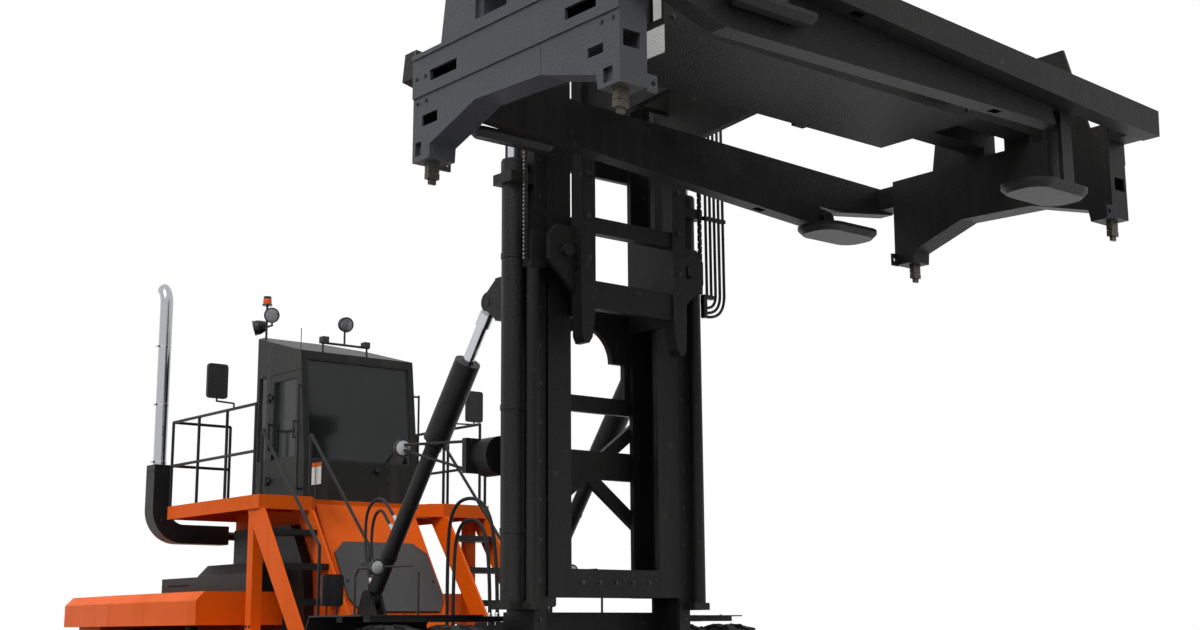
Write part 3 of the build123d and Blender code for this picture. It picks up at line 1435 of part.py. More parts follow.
def make_spreader_end(side):
    """One end of the spreader, drawn on the left side; side tells which end."""
    name = "left" if side == 1 else "right"
    beam = cut(
        prism_y(end_outline(), (END_INNER_Y, END_OUTER_Y)),
        prism_y(inset(end_outline(), END_WALL), (END_INNER_Y + END_WALL, END_OUTER_Y - END_WALL)),
    )
    corners = []
    bores = []
    for x in (-LOCK_X, LOCK_X):
        corners.append(box(about(x, 90), (END_INNER_Y + 10, END_OUTER_Y - 30), (185, 420)))
        bores.append(rod((x, LOCK_Y, 100), (x, LOCK_Y, 430), LOCK_R + RUNNING_FIT))
        near, far = sorted((x + math.copysign(LASH_X[0], x), x + math.copysign(LASH_X[1], x)))
        corners.append(box((near, far), (EYE_Y - 35, END_INNER_Y + 5), about(EYE_Z, 60)))
        bores.append(rod((near - 5, EYE_Y, EYE_Z), (far + 5, EYE_Y, EYE_Z), EYE_R))
    outer = (END_OUTER_Y - END_WALL - 10, END_OUTER_Y + 10)
    windows = [
        box((-1130, -920), outer, (450, 540)),
        box((900, 1070), outer, (430, 500)),
        box((-1220, -1140), (END_OUTER_Y - 60, END_OUTER_Y + 10), (225, 335)),
        box((1065, 1165), (END_OUTER_Y - 60, END_OUTER_Y + 10), (206, 312)),
        box((-1010, -650), outer, (790, 880)),
        box((670, 1010), outer, (775, 865)),
        box((-450, -20), (TALL_Y[0] - 10, TALL_Y[1] + 10), (1130, 1330)),
        box((1240 - END_WALL - 5, 1250), (END_INNER_Y + 60, END_OUTER_Y - 55), (440, 560)),
        box((377, 383), (END_OUTER_Y - 30, END_OUTER_Y + 10), (450, SKIRT_Z)),
        box((-1400, 1400), (END_OUTER_Y - END_STEP, END_OUTER_Y + 10), (SKIRT_Z, CAP_Z)),
        box((-1400, 1400), (END_OUTER_Y - 2 * END_STEP, END_OUTER_Y + 10), (100, SKIRT_Z)),
    ]
    tall = prism_y(
        [
            (-910, 1045),
            (-850, 1400),
            (-760, 1950),
            (700, 1950),
            (950, 1045),
        ],
        TALL_Y,
    )
    beams = []
    rooms = []
    for end, low_x, high_x in TELE_BEAMS:
        if end != name:
            continue
        lane = (low_x, high_x)
        beams.append(box(lane, (TELE_INNER_Y, TALL_Y[0] + 5), TELE_Z))
        rooms.append(
            box(
                (low_x + TELE_WALL, high_x - TELE_WALL),
                (TELE_INNER_Y - 10, TALL_Y[0] - 20),
                (TELE_Z[0] + TELE_WALL, TELE_Z[1] - TELE_WALL),
            )
        )
        beams.append(box(lane, (END_INNER_Y + 20, TALL_Y[0] + 5), (1045, TELE_Z[0] + 5)))
    end = cut(joined(beam, corners, tall, beams, leg_pins(side)), windows, bores, rooms)
    locks = []
    for x in (-LOCK_X, LOCK_X):
        locks.append(
            joined(
                rod((x, LOCK_Y, 60), (x, LOCK_Y, 400), LOCK_R),
                box(about(x, LOCK_R), about(LOCK_Y, 50), (95, 180)),
                box(about(x, LOCK_R), about(LOCK_Y, 52), (40, 90)),
                box(about(x, 15), about(LOCK_Y, 30), (0, 45)),
            )
        )
    pieces = [end] + locks
    if side == -1:
        pieces = [mirrored(piece) for piece in pieces]
    write(f"spreader_end_{name}", placed(pieces[0]))
    write(f"twistlocks_{name}", [placed(piece) for piece in pieces[1:]])


def make_leg(name, side, lane, hinge_z, rise, hinge_depth, ankle_depth, drop, inward, outward):
    """One folding leg and its shoe, drawn with its hinge on the left side."""
    slope = math.atan2(rise, LEG_LENGTH)
    run = LEG_LENGTH * math.cos(slope)
    ankle = (LEG_HINGE_Y - run, hinge_z + LEG_LENGTH * math.sin(slope))
    hinge = (LEG_HINGE_Y, hinge_z)

    def at(along, off):
        return (
            hinge[0] - along * math.cos(slope) - off * math.sin(slope),
            hinge[1] + along * math.sin(slope) - off * math.cos(slope),
        )

    half0, half1 = hinge_depth / 2, ankle_depth / 2
    outline = [
        at(-110, -min(half0, 120)),
        at(LEG_LENGTH, -half1),
        at(LEG_LENGTH, half1),
        at(700, half0 * 2 - min(half0, 120)),
        at(-110, min(half0, 120)),
    ]
    middle = (lane[0] + lane[1]) / 2
    wall = LEG_WALL
    inner = [
        at(260, -min(half0, 120) + wall),
        at(LEG_LENGTH - 420, -half1 + wall),
        at(LEG_LENGTH - 420, half1 - wall),
        at(700, half0 * 2 - min(half0, 120) - wall),
        at(300, min(half0, 120) - wall),
    ]
    leg = joined(
        prism_x(outline, lane),
        rod((lane[0], *ankle), (lane[1], *ankle), half1),
    )
    drain = box(about(middle, 40), about(ankle[0] + 900, 60), (hinge_z - 900, ankle[1]))
    tongue = [
        rod((x[0], *ankle), (x[1], *ankle), half1 + 60)
        for x in ((lane[0] - 1, middle - 30), (middle + 30, lane[1] + 1))
    ]
    pin_bore = rod((lane[0] - 5, *hinge), (lane[1] + 5, *hinge), LEG_PIN_R + RUNNING_FIT)
    pin = rod((lane[0] + 5, *ankle), (lane[1] - 5, *ankle), 40)
    room = prism_x(inner, (lane[0] + wall, lane[1] - wall))
    leg = joined(cut(leg, room, drain, tongue, pin_bore), pin)

    shoe_z = ankle[1] - drop
    cheeks = []
    for x in ((lane[0] + 5, middle - 35), (middle + 35, lane[1] - 5)):
        cheeks.append(rod((x[0], *ankle), (x[1], *ankle), 75))
        cheeks.append(
            box(x, about(ankle[0], 75), (shoe_z - 5, ankle[1]))
        )
    if lane[0] > 0:
        plate_x = (lane[0] - inward, lane[1] + outward)
    else:
        plate_x = (lane[0] - outward, lane[1] + inward)
    reach = min(SHOE_HALF, 2.4 * (plate_x[1] - plate_x[0]))
    ends = (ankle[0] - reach, ankle[0] + reach)
    plate = box(plate_x, ends, (shoe_z - SHOE_THICK, shoe_z))
    round_r = 0.42 * min(plate_x[1] - plate_x[0], ends[1] - ends[0])
    upright = [edge for edge in plate.edges() if abs(edge.tangent_at(0.5).Z) > 0.9]
    plate = plate.fillet(round_r, upright)
    under = plate.faces().sort_by(Axis.Z)[0]
    plate = plate.chamfer(0.6 * SHOE_THICK, None, under.outer_wire().edges())
    shoe = cut(
        joined(cheeks, plate),
        rod((lane[0] - 5, *ankle), (lane[1] + 5, *ankle), 40 + RUNNING_FIT),
        rod((middle - 35, *ankle), (middle + 35, *ankle), half1 + 8),
    )
    pieces = [leg, shoe]
    if side == -1:
        pieces = [mirrored(piece) for piece in pieces]
    write(f"leg_{name}", placed(pieces[0]))
    write(f"shoe_{name}", placed(pieces[1]))


os.makedirs("parts", exist_ok=True)
make_frame()
make_drive_axle()
make_steer_axle()
make_wheels()
make_tanks()
make_engine()
make_counterweight()
make_hood()
make_side_panels()
make_fenders()
make_pedestal()
make_platform()
make_stairs()
make_railings()
make_cab()
make_seat()
make_exhaust()
make_lamps()
make_mirrors()
make_outer_mast()
make_mast_lamp()
make_inner_mast()
make_carriage()
make_tilt_cylinders()
make_spreader_frame()
for end_side in (1, -1):
    make_spreader_end(end_side)
for leg in LEGS:
    make_leg(*leg)
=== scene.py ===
"""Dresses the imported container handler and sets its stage, lamps and camera."""

from __future__ import annotations

import itertools
import json
import logging
import math
from dataclasses import dataclass
from enum import Enum

import bmesh
import bpy
from mathutils import Matrix, Vector
from mathutils.bvhtree import BVHTree

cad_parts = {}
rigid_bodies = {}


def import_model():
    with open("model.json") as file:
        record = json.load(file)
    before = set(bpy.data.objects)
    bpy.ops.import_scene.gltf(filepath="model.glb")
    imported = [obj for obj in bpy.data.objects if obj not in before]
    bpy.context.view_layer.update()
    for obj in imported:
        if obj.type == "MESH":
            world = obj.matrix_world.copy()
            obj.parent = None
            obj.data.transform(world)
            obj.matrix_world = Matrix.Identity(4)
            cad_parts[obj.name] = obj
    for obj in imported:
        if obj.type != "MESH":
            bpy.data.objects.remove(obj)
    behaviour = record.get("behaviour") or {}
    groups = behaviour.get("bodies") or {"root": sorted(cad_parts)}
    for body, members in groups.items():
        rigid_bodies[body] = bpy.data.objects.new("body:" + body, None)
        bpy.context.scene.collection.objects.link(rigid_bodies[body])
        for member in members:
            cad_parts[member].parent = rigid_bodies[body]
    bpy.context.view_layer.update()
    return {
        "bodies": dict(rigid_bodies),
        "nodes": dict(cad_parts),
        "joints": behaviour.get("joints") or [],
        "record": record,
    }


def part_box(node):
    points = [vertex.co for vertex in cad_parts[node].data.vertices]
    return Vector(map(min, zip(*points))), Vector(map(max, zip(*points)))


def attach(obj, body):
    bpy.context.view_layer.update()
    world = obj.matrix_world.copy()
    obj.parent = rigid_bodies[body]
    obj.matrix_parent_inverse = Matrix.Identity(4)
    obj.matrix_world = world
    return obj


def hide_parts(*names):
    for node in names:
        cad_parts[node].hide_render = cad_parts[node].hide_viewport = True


LOG = logging.getLogger("handler")
Colour = tuple[float, float, float]
Point = tuple[float, float, float]
Profile = list[tuple[float, float]]
Pairs = tuple[tuple[float, float], ...]
Row = tuple[float, ...]

AHEAD: Point = (1, 0, 0)
BACK: Point = (-1, 0, 0)
LEFTWARD: Point = (0, 1, 0)
RIGHTWARD: Point = (0, -1, 0)
UP: Point = (0, 0, 1)
DOWN: Point = (0, 0, -1)
SIDES: tuple[tuple[int, str], ...] = ((-1, "right"), (1, "left"))
BOLT_SIZES: dict[str, float] = {"Head": 0.014, "Rise": 0.012, "Washer": 0.02, "Sheet": 0.004}


def linear(red: int, green: int, blue: int) -> Colour:
    """Turn a screen colour into the linear one that shaders take.

    Args:
        red: Screen value from 0 to 255.
        green: Screen value from 0 to 255.
        blue: Screen value from 0 to 255.

    Returns:
        The linear colour.
    """
    found = []
    for value in (red / 255, green / 255, blue / 255):
        found.append(value / 12.92 if value <= 0.04045 else ((value + 0.055) / 1.055) ** 2.4)
    return (found[0], found[1], found[2])


def grid(x: float | Row, y: float | Row, z: float | Row) -> list[Point]:
    """Give every point of a grid with one place or several along each axis, Z changing fastest."""
    axes = [places if isinstance(places, tuple) else (places,) for places in (x, y, z)]
    return list(itertools.product(*axes))


def run(start: Point, step: Point, count: int) -> list[Point]:
    """Give evenly spaced points on a line."""
    return [tuple(place + go * index for place, go in zip(start, step)) for index in range(count)]


class Tree:
    """A small helper that adds and links nodes in one node tree."""

    def __init__(self, tree: bpy.types.NodeTree) -> None:
        """Keep the tree that the nodes go into."""
        self.tree = tree

    def add(self, kind: str, **values: object) -> bpy.types.Node:
        """Add a node and set its properties.

        Args:
            kind: The node's type name.
            **values: Properties of the node by name.

        Returns:
            The new node.
        """
        node = self.tree.nodes.new(kind)
        for name, value in values.items():
            setattr(node, name, value)
        return node

    def link(self, source: bpy.types.NodeSocket, target: bpy.types.NodeSocket) -> None:
        """Link one socket to another."""
        self.tree.links.new(source, target)

    def ramp(self, source: bpy.types.NodeSocket, low: float, high: float) -> bpy.types.NodeSocket:
        """Stretch a value so that low becomes 0 and high becomes 1, clamped.

        Args:
            source: The socket that gives the value.
            low: The value that becomes 0.
            high: The value that becomes 1.

        Returns:
            The socket of the stretched value.
        """
        node = self.add("ShaderNodeMapRange", clamp=True)
        node.inputs["From Min"].default_value = low
        node.inputs["From Max"].default_value = high
        self.link(source, node.inputs["Value"])
        return node.outputs["Result"]

    def maths(
        self,
        operation: str,
        first: bpy.types.NodeSocket | float,
        second: bpy.types.NodeSocket | float,
    ) -> bpy.types.NodeSocket:
        """Combine two values.

        Args:
            operation: The math node's operation.
            first: A socket or a number.
            second: A socket or a number.

        Returns:
            The result's socket.
        """
        node = self.add("ShaderNodeMath", operation=operation)
        for index, value in enumerate((first, second)):
            if isinstance(value, (int, float)):
                node.inputs[index].default_value = value
            else:
                self.link(value, node.inputs[index])
        return node.outputs[0]

    def blend(
        self,
        share: bpy.types.NodeSocket,
        first: Colour | bpy.types.NodeSocket,
        second: Colour | bpy.types.NodeSocket,
    ) -> bpy.types.NodeSocket:
        """Blend two colours by a mask.

        Args:
            share: The mask's socket, 0 for the first colour and 1 for the second.
            first: A colour or a socket.
            second: A colour or a socket.

        Returns:
            The blended colour's socket.
        """
        node = self.add("ShaderNodeMix", data_type="RGBA")
        self.link(share, node.inputs[0])
        for index, value in ((6, first), (7, second)):
            if isinstance(value, tuple):
                node.inputs[index].default_value = (*value, 1.0)
            else:
                self.link(value, node.inputs[index])
        return node.outputs[2]


class WeatherAndEdgeMasks:
    """The shader group that gives every finish its dust, streaks, chips and fine bumps, and an edge mask for
    edge wear and a painted highlight along edges.
    """

    name: str = "WeatherAndEdgeMasks"
    sizes: dict[str, float] = {
        "Patch scale": 0.8, "Streak scale": 6.0, "Grain scale": 60.0, "Edge width": 0.006
    }
    masks: tuple[str, ...] = ("Dust", "Streaks", "Chips", "Grain", "Edges")
    chip_scale: float = 9.0
    streak_stretch: Point = (1.0, 1.0, 0.06)

    def __init__(self) -> None:
        """Build the group once."""
        self.group = bpy.data.node_groups.new(self.name, "ShaderNodeTree")
        face = self.group.interface
        for name, value in self.sizes.items():
            face.new_socket(name=name, in_out="INPUT", socket_type="NodeSocketFloat").default_value = value
        for name in self.masks:
            face.new_socket(name=name, in_out="OUTPUT", socket_type="NodeSocketFloat")
        self._fill()

    @staticmethod
    def _noise(
        tree: Tree, place: bpy.types.NodeSocket, scale: bpy.types.NodeSocket | float, detail: float
    ) -> bpy.types.NodeSocket:
        """Add a noise texture.

        Args:
            tree: The tree that it goes into.
            place: The socket of its coordinates.
            scale: A socket or a number.
            detail: How many octaves it has.

        Returns:
            The socket of its value.
        """
        node = tree.add("ShaderNodeTexNoise")
        node.inputs["Detail"].default_value = detail
        tree.link(place, node.inputs["Vector"])
        if isinstance(scale, float):
            node.inputs["Scale"].default_value = scale
        else:
            tree.link(scale, node.inputs["Scale"])
        return node.outputs[0]

    def _fill(self) -> None:
        """Add the group's nodes."""
        tree = Tree(self.group)
        ins = tree.add("NodeGroupInput")
        outs = tree.add("NodeGroupOutput")
        place = tree.add("ShaderNodeTexCoord").outputs["Object"]
        stretch = tree.add("ShaderNodeMapping")
        stretch.inputs["Scale"].default_value = self.streak_stretch
        tree.link(place, stretch.inputs["Vector"])
        patch = self._noise(tree, place, ins.outputs["Patch scale"], 5.0)
        streak = self._noise(tree, stretch.outputs[0], ins.outputs["Streak scale"], 4.0)
        grain = self._noise(tree, place, ins.outputs["Grain scale"], 3.0)
        chip = self._noise(tree, place, self.chip_scale, 8.0)
        # Edge mask from the rounded normal, broken up by noise: partly worn edges, partly a painted highlight
        # where edges would catch light.
        rounded = tree.add("ShaderNodeBevel", samples=4)
        tree.link(ins.outputs["Edge width"], rounded.inputs["Radius"])
        spread = tree.add("ShaderNodeVectorMath", operation="DOT_PRODUCT")
        tree.link(rounded.outputs[0], spread.inputs[0])
        tree.link(tree.add("ShaderNodeNewGeometry").outputs["Normal"], spread.inputs[1])
        edge = tree.ramp(spread.outputs["Value"], 0.985, 0.86)
        edge_breakup = tree.ramp(chip, 0.42, 0.62)
        tree.link(tree.ramp(patch, 0.42, 0.7), outs.inputs["Dust"])
        tree.link(tree.ramp(streak, 0.5, 0.75), outs.inputs["Streaks"])
        tree.link(tree.ramp(chip, 0.67, 0.7), outs.inputs["Chips"])
        tree.link(grain, outs.inputs["Grain"])
        tree.link(tree.maths("MULTIPLY", edge, edge_breakup), outs.inputs["Edges"])


class Body(Enum):
    """The moving bodies that new pieces ride on."""

    CHASSIS = "chassis"
    DOOR = "cab_door"
    MAST = "mast"
    INNER = "mast_inner"
    CARRIAGE = "carriage"
    SPREADER = "spreader"
    END_LEFT = "spreader_end_left"
    END_RIGHT = "spreader_end_right"


class Mesher:
    """Collects the faces of one piece and turns them into a finished object."""

    band_edge: float = 0.003
    band_sides: int = 36
    bevel_from: float = 40.0

    def __init__(self) -> None:
        """Start with no faces."""
        self.mesh = bmesh.new()

    @staticmethod
    def axes(way: Vector) -> tuple[Vector, Vector, Vector]:
        """Find two directions square to a given one.

        Args:
            way: The direction.

        Returns:
            The unit direction and two unit vectors square to it.
        """
        along = Vector(way).normalized()
        aside = along.cross(Vector((0, 0, 1)) if abs(along.z) < 0.9 else Vector((1, 0, 0))).normalized()
        return along, aside, along.cross(aside)

    def block(self, low: Point, high: Point) -> Mesher:
        """Add a block.

        Args:
            low: Its lowest corner.
            high: Its highest corner.

        Returns:
            This mesher.
        """
        made = [self.mesh.verts.new(corner) for corner in itertools.product(*zip(low, high))]
        for face in ((0, 1, 3, 2), (4, 6, 7, 5), (0, 4, 5, 1), (2, 3, 7, 6), (0, 2, 6, 4), (1, 5, 7, 3)):
            self.mesh.faces.new([made[index] for index in face])
        return self

    def prism(self, outline: list[Point], sweep: Point) -> Mesher:
        """Add an outline pushed along a vector.

        Args:
            outline: The outline's corners.
            sweep: The vector.

        Returns:
            This mesher.
        """
        near = [self.mesh.verts.new(point) for point in outline]
        far = [self.mesh.verts.new(Vector(point) + Vector(sweep)) for point in outline]
        self.mesh.faces.new(near)
        self.mesh.faces.new(far[::-1])
        for index in range(len(near)):
            after = (index + 1) % len(near)
            self.mesh.faces.new((near[index], near[after], far[after], far[index]))
        return self

    def turned(self, centre: Point, way: Point, profile: Profile, sides: int = 28) -> Mesher:
        """Add a turned form.

        Args:
            centre: The point that the profile starts from.
            way: The axis's direction.
            profile: Pairs of distance along the axis and radius.
            sides: The number of sides.

        Returns:
            This mesher.
        """
        along, aside, across = self.axes(Vector(way))
        rings = []
        for reach, radius in profile:
            middle = Vector(centre) + along * reach
            if radius < 1e-5:
                rings.append([self.mesh.verts.new(middle)])
                continue
            ring = []
            for step in range(sides):
                turn = 2 * math.pi * step / sides
                out = aside * math.cos(turn) + across * math.sin(turn)
                ring.append(self.mesh.verts.new(middle + radius * out))
            rings.append(ring)
        for near, far in zip(rings, rings[1:]):
            for step in range(sides):
                after = (step + 1) % sides
                if len(near) == 1 and len(far) == 1:
                    continue
                if len(near) == 1:
                    self.mesh.faces.new((near[0], far[after], far[step]))
                elif len(far) == 1:
                    self.mesh.faces.new((near[step], near[after], far[0]))
                else:
                    self.mesh.faces.new((near[step], near[after], far[after], far[step]))
        if profile[0] == profile[-1]:
            return self
        for ring in (rings[0], rings[-1]):
            if len(ring) > 1:
                self.mesh.faces.new(ring)
        return self

    def ring(self, centre: Point, way: Point, inner: float, outer: float, width: float) -> Mesher:
        """Add a flat band around an axis.

        Args:
            centre: The middle of the band's first side.
            way: The axis's direction.
            inner: The inner radius.
            outer: The outer radius.
            width: The width along the axis.

        Returns:
            This mesher.
        """
        edge = self.band_edge
        near = [(0.0, inner), (0.0, outer - edge), (edge, outer)]
        far = [(width - edge, outer), (width, outer - edge), (width, inner), (0.0, inner)]
        return self.turned(centre, way, near + far, self.band_sides)

    def bar(self, start: Point, end: Point, radius: float, sides: int = 12) -> Mesher:
        """Add a round bar between two points."""
        way = Vector(end) - Vector(start)
        return self.turned(start, way, [(0.0, radius), (way.length, radius)], sides)

    def piece(
        self, name: str, finish: bpy.types.Material, body: Body | str, slot: str, **looks: float
    ) -> bpy.types.Object:
        """Make the piece's object.

        Args:
            name: The piece's name.
            finish: Its material.
            body: The body that it rides on.
            slot: Not used.
            **looks: bevel, the width of its bevelled edges in metres, and angle, the sharpest smooth angle.

        Returns:
            The finished object.
        """
        bmesh.ops.remove_doubles(self.mesh, verts=self.mesh.verts, dist=1e-6)
        bmesh.ops.recalc_face_normals(self.mesh, faces=self.mesh.faces)
        data = bpy.data.meshes.new(name)
        self.mesh.to_mesh(data)
        self.mesh.free()
        data.materials.append(finish)
        return self.place(bpy.data.objects.new(name, data), body, slot, **looks)

    @staticmethod
    def place(
        made: bpy.types.Object, body: Body | str, slot: str, bevel: float = 0.0, angle: float = 35.0
    ) -> bpy.types.Object:
        """Link an object, smooth it and let it ride.

        Args:
            made: The object.
            body: The body that it rides on.
            slot: Not used.
            bevel: The width of its bevelled edges in metres.
            angle: The sharpest angle in degrees that is still shaded smooth.

        Returns:
            The object.
        """
        bpy.context.scene.collection.objects.link(made)
        if made.type == "MESH":
            made.data.shade_smooth()
            made.data.set_sharp_from_angle(angle=math.radians(angle))
        if bevel > 0:
            edge = made.modifiers.new("bevel", "BEVEL")
            edge.width = bevel
            edge.segments = 2
            edge.limit_method = "ANGLE"
            edge.angle_limit = math.radians(Mesher.bevel_from)
            edge.harden_normals = True
        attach(made, body.value if isinstance(body, Body) else body)
        LOG.info("%s rides on %s", made.name, body)
        return made


class Pattern(Tree):
    """A Geometry Nodes tree that repeats a small form at the points of a mesh."""

    def __init__(self, name: str, sizes: dict[str, float]) -> None:
        """Start the tree with its named sizes.

        Args:
            name: The tree's name.
            sizes: Each size's name and value.
        """
        group = bpy.data.node_groups.new(name, "GeometryNodeTree")
        super().__init__(group)
        group.interface.new_socket(name="Points", in_out="INPUT", socket_type="NodeSocketGeometry")
        group.interface.new_socket(name="Finish", in_out="INPUT", socket_type="NodeSocketMaterial")
        for size, value in sizes.items():
            socket = group.interface.new_socket(name=size, in_out="INPUT", socket_type="NodeSocketFloat")
            socket.default_value = value
        group.interface.new_socket(name="Form", in_out="OUTPUT", socket_type="NodeSocketGeometry")
        self.ins = self.add("NodeGroupInput")
        self.outs = self.add("NodeGroupOutput")

    def cylinder(self, sides: int, radius: str, depth: str) -> bpy.types.NodeSocket:
        """Add a cylinder.

        Args:
            sides: The number of sides.
            radius: The name of the input that gives its radius.
            depth: The name of the input that gives its length.

        Returns:
            The socket of its mesh.
        """
        node = self.add("GeometryNodeMeshCylinder")
        node.inputs["Vertices"].default_value = sides
        self.link(self.ins.outputs[radius], node.inputs["Radius"])
        self.link(self.ins.outputs[depth], node.inputs["Depth"])
        return node.outputs["Mesh"]

    def block(self, length: str, width: str, height: str) -> bpy.types.NodeSocket:
        """Add a block.

        Args:
            length: The name of the input that gives its size along X.
            width: The name of the input that gives its size along Y.
            height: The name of the input that gives its size along Z.

        Returns:
            The socket of its mesh.
        """
        size = self.add("ShaderNodeCombineXYZ")
        for axis, name in zip("XYZ", (length, width, height)):
            self.link(self.ins.outputs[name], size.inputs[axis])
        node = self.add("GeometryNodeMeshCube")
        self.link(size.outputs[0], node.inputs["Size"])
        return node.outputs["Mesh"]

    def close(self, form: bpy.types.NodeSocket) -> None:
        """Place the form at each point, turned as its stored turn says, and end the tree.

        Args:
            form: The small form.
        """
        turn = self.add("GeometryNodeInputNamedAttribute", data_type="FLOAT_VECTOR")
        turn.inputs["Name"].default_value = "turn"
        spin = self.add("FunctionNodeEulerToRotation")
        self.link(turn.outputs["Attribute"], spin.inputs[0])
        spread = self.add("GeometryNodeInstanceOnPoints")
        self.link(self.ins.outputs["Points"], spread.inputs["Points"])
        self.link(form, spread.inputs["Instance"])
        self.link(spin.outputs[0], spread.inputs["Rotation"])
        real = self.add("GeometryNodeRealizeInstances")
        self.link(spread.outputs[0], real.inputs[0])
        paint = self.add("GeometryNodeSetMaterial")
        self.link(real.outputs[0], paint.inputs["Geometry"])
        self.link(self.ins.outputs["Finish"], paint.inputs["Material"])
        self.link(paint.outputs[0], self.outs.inputs["Form"])

    def grow(
        self, name: str, spots: list[Spot], finish: bpy.types.Material, sizes: dict[str, float] | None = None
    ) -> bpy.types.Object:
        """Repeat the form at the spots and return it as one plain mesh.

        Args:
            name: The new object's name.
            spots: The points, each with the direction of the form's Z axis.
            finish: The material.
            sizes: Values for named sizes that differ from the tree's.

        Returns:
            The new object, not yet linked.
        """
        data = bpy.data.meshes.new(name + "_points")
        data.from_pydata([spot.at for spot in spots], [], [])
        turn = data.attributes.new("turn", "FLOAT_VECTOR", "POINT")
        for index, spot in enumerate(spots):
            turn.data[index].vector = spot.turn()
        source = bpy.data.objects.new(name + "_points", data)
        bpy.context.scene.collection.objects.link(source)
        modifier = source.modifiers.new("pattern", "NODES")
        modifier.node_group = self.tree
        names = {item.name: item.identifier for item in self.tree.interface.items_tree}
        modifier[names["Finish"]] = finish
        for size, value in (sizes or {}).items():
            modifier[names[size]] = value
        graph = bpy.context.evaluated_depsgraph_get()
        made = bpy.data.objects.new(name, bpy.data.meshes.new_from_object(source.evaluated_get(graph)))
        bpy.data.objects.remove(source)
        return made


@dataclass(frozen=True)
class Spot:
    """A place on a surface: where it is, which way it faces and how it is rolled."""

    at: Point
    way: Point
    roll: float = 0.0

    def turn(self) -> tuple[float, float, float]:
        """Give the turn that points Z along the way, as Euler angles."""
        aim = Vector(self.way).to_track_quat("Z", "Y").to_matrix()
        return tuple((aim @ Matrix.Rotation(self.roll, 3, "Z")).to_euler())


class Toolbox:
    """The Geometry Nodes trees for what repeats on the machine."""

    def __init__(self) -> None:
        """Build each tree once."""
        self.bolts = tree = Pattern("HexBolts", BOLT_SIZES)
        head = tree.cylinder(6, "Head", "Rise")
        lift = tree.add("GeometryNodeTransform")
        half = tree.add("ShaderNodeCombineXYZ")
        tree.link(tree.maths("MULTIPLY", tree.ins.outputs["Rise"], 0.5), half.inputs["Z"])
        tree.link(head, lift.inputs["Geometry"])
        tree.link(half.outputs[0], lift.inputs["Translation"])
        both = tree.add("GeometryNodeJoinGeometry")
        tree.link(tree.cylinder(16, "Washer", "Sheet"), both.inputs[0])
        tree.link(lift.outputs[0], both.inputs[0])
        tree.close(both.outputs[0])
        self.blocks = Pattern("Blocks", {"Length": 0.1, "Width": 0.03, "Height": 0.02})
        self.blocks.close(self.blocks.block("Length", "Width", "Height"))
        self.pins = Pattern("Pins", {"Radius": 0.01, "Length": 0.03})
        self.pins.close(self.pins.cylinder(14, "Radius", "Length"))


class Surfaces:
    """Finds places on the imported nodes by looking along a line."""

    def __init__(self, nodes: dict[str, bpy.types.Object]) -> None:
        """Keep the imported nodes."""
        self.nodes = nodes
        self.trees: dict[str, BVHTree] = {}

    def tree(self, node: str) -> BVHTree:
        """Give the search tree of a node, built once.

        Args:
            node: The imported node's name.

        Returns:
            The search tree.
        """
        if node not in self.trees:
            data = self.nodes[node].data
            places = [vertex.co.copy() for vertex in data.vertices]
            faces = [tuple(face.vertices) for face in data.polygons]
            self.trees[node] = BVHTree.FromPolygons(places, faces)
        return self.trees[node]

    def spot(self, node: str, start: Point, way: Point, roll: float = 0.0) -> Spot | None:
        """Look from a point along a direction and give the first place on the node.

        Args:
            node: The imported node's name.
            start: The point looked from.
            way: The direction looked in.
            roll: The roll of the form that goes there.

        Returns:
            The place, facing back, or None where nothing is met.
        """
        place, normal, _, _ = self.tree(node).ray_cast(Vector(start), Vector(way).normalized())
        if place is None:
            return None
        facing = normal if normal.dot(Vector(way)) < 0 else -normal
        return Spot(tuple(place), tuple(facing), roll)

    def spots(self, node: str, starts: list[Point], way: Point) -> list[Spot]:
        """Look from several points and give the places that are met."""
        found = [self.spot(node, start, way) for start in starts]
        return [spot for spot in found if spot is not None]


def blank_material(name: str) -> tuple[bpy.types.Material, Tree, bpy.types.Node]:
    """Make a material with nothing but its shader.

    Args:
        name: The material's name.

    Returns:
        The material, its tree and its shader.
    """
    made = bpy.data.materials.new(name)
    made.use_nodes = True
    return made, Tree(made.node_tree), made.node_tree.nodes["Principled BSDF"]


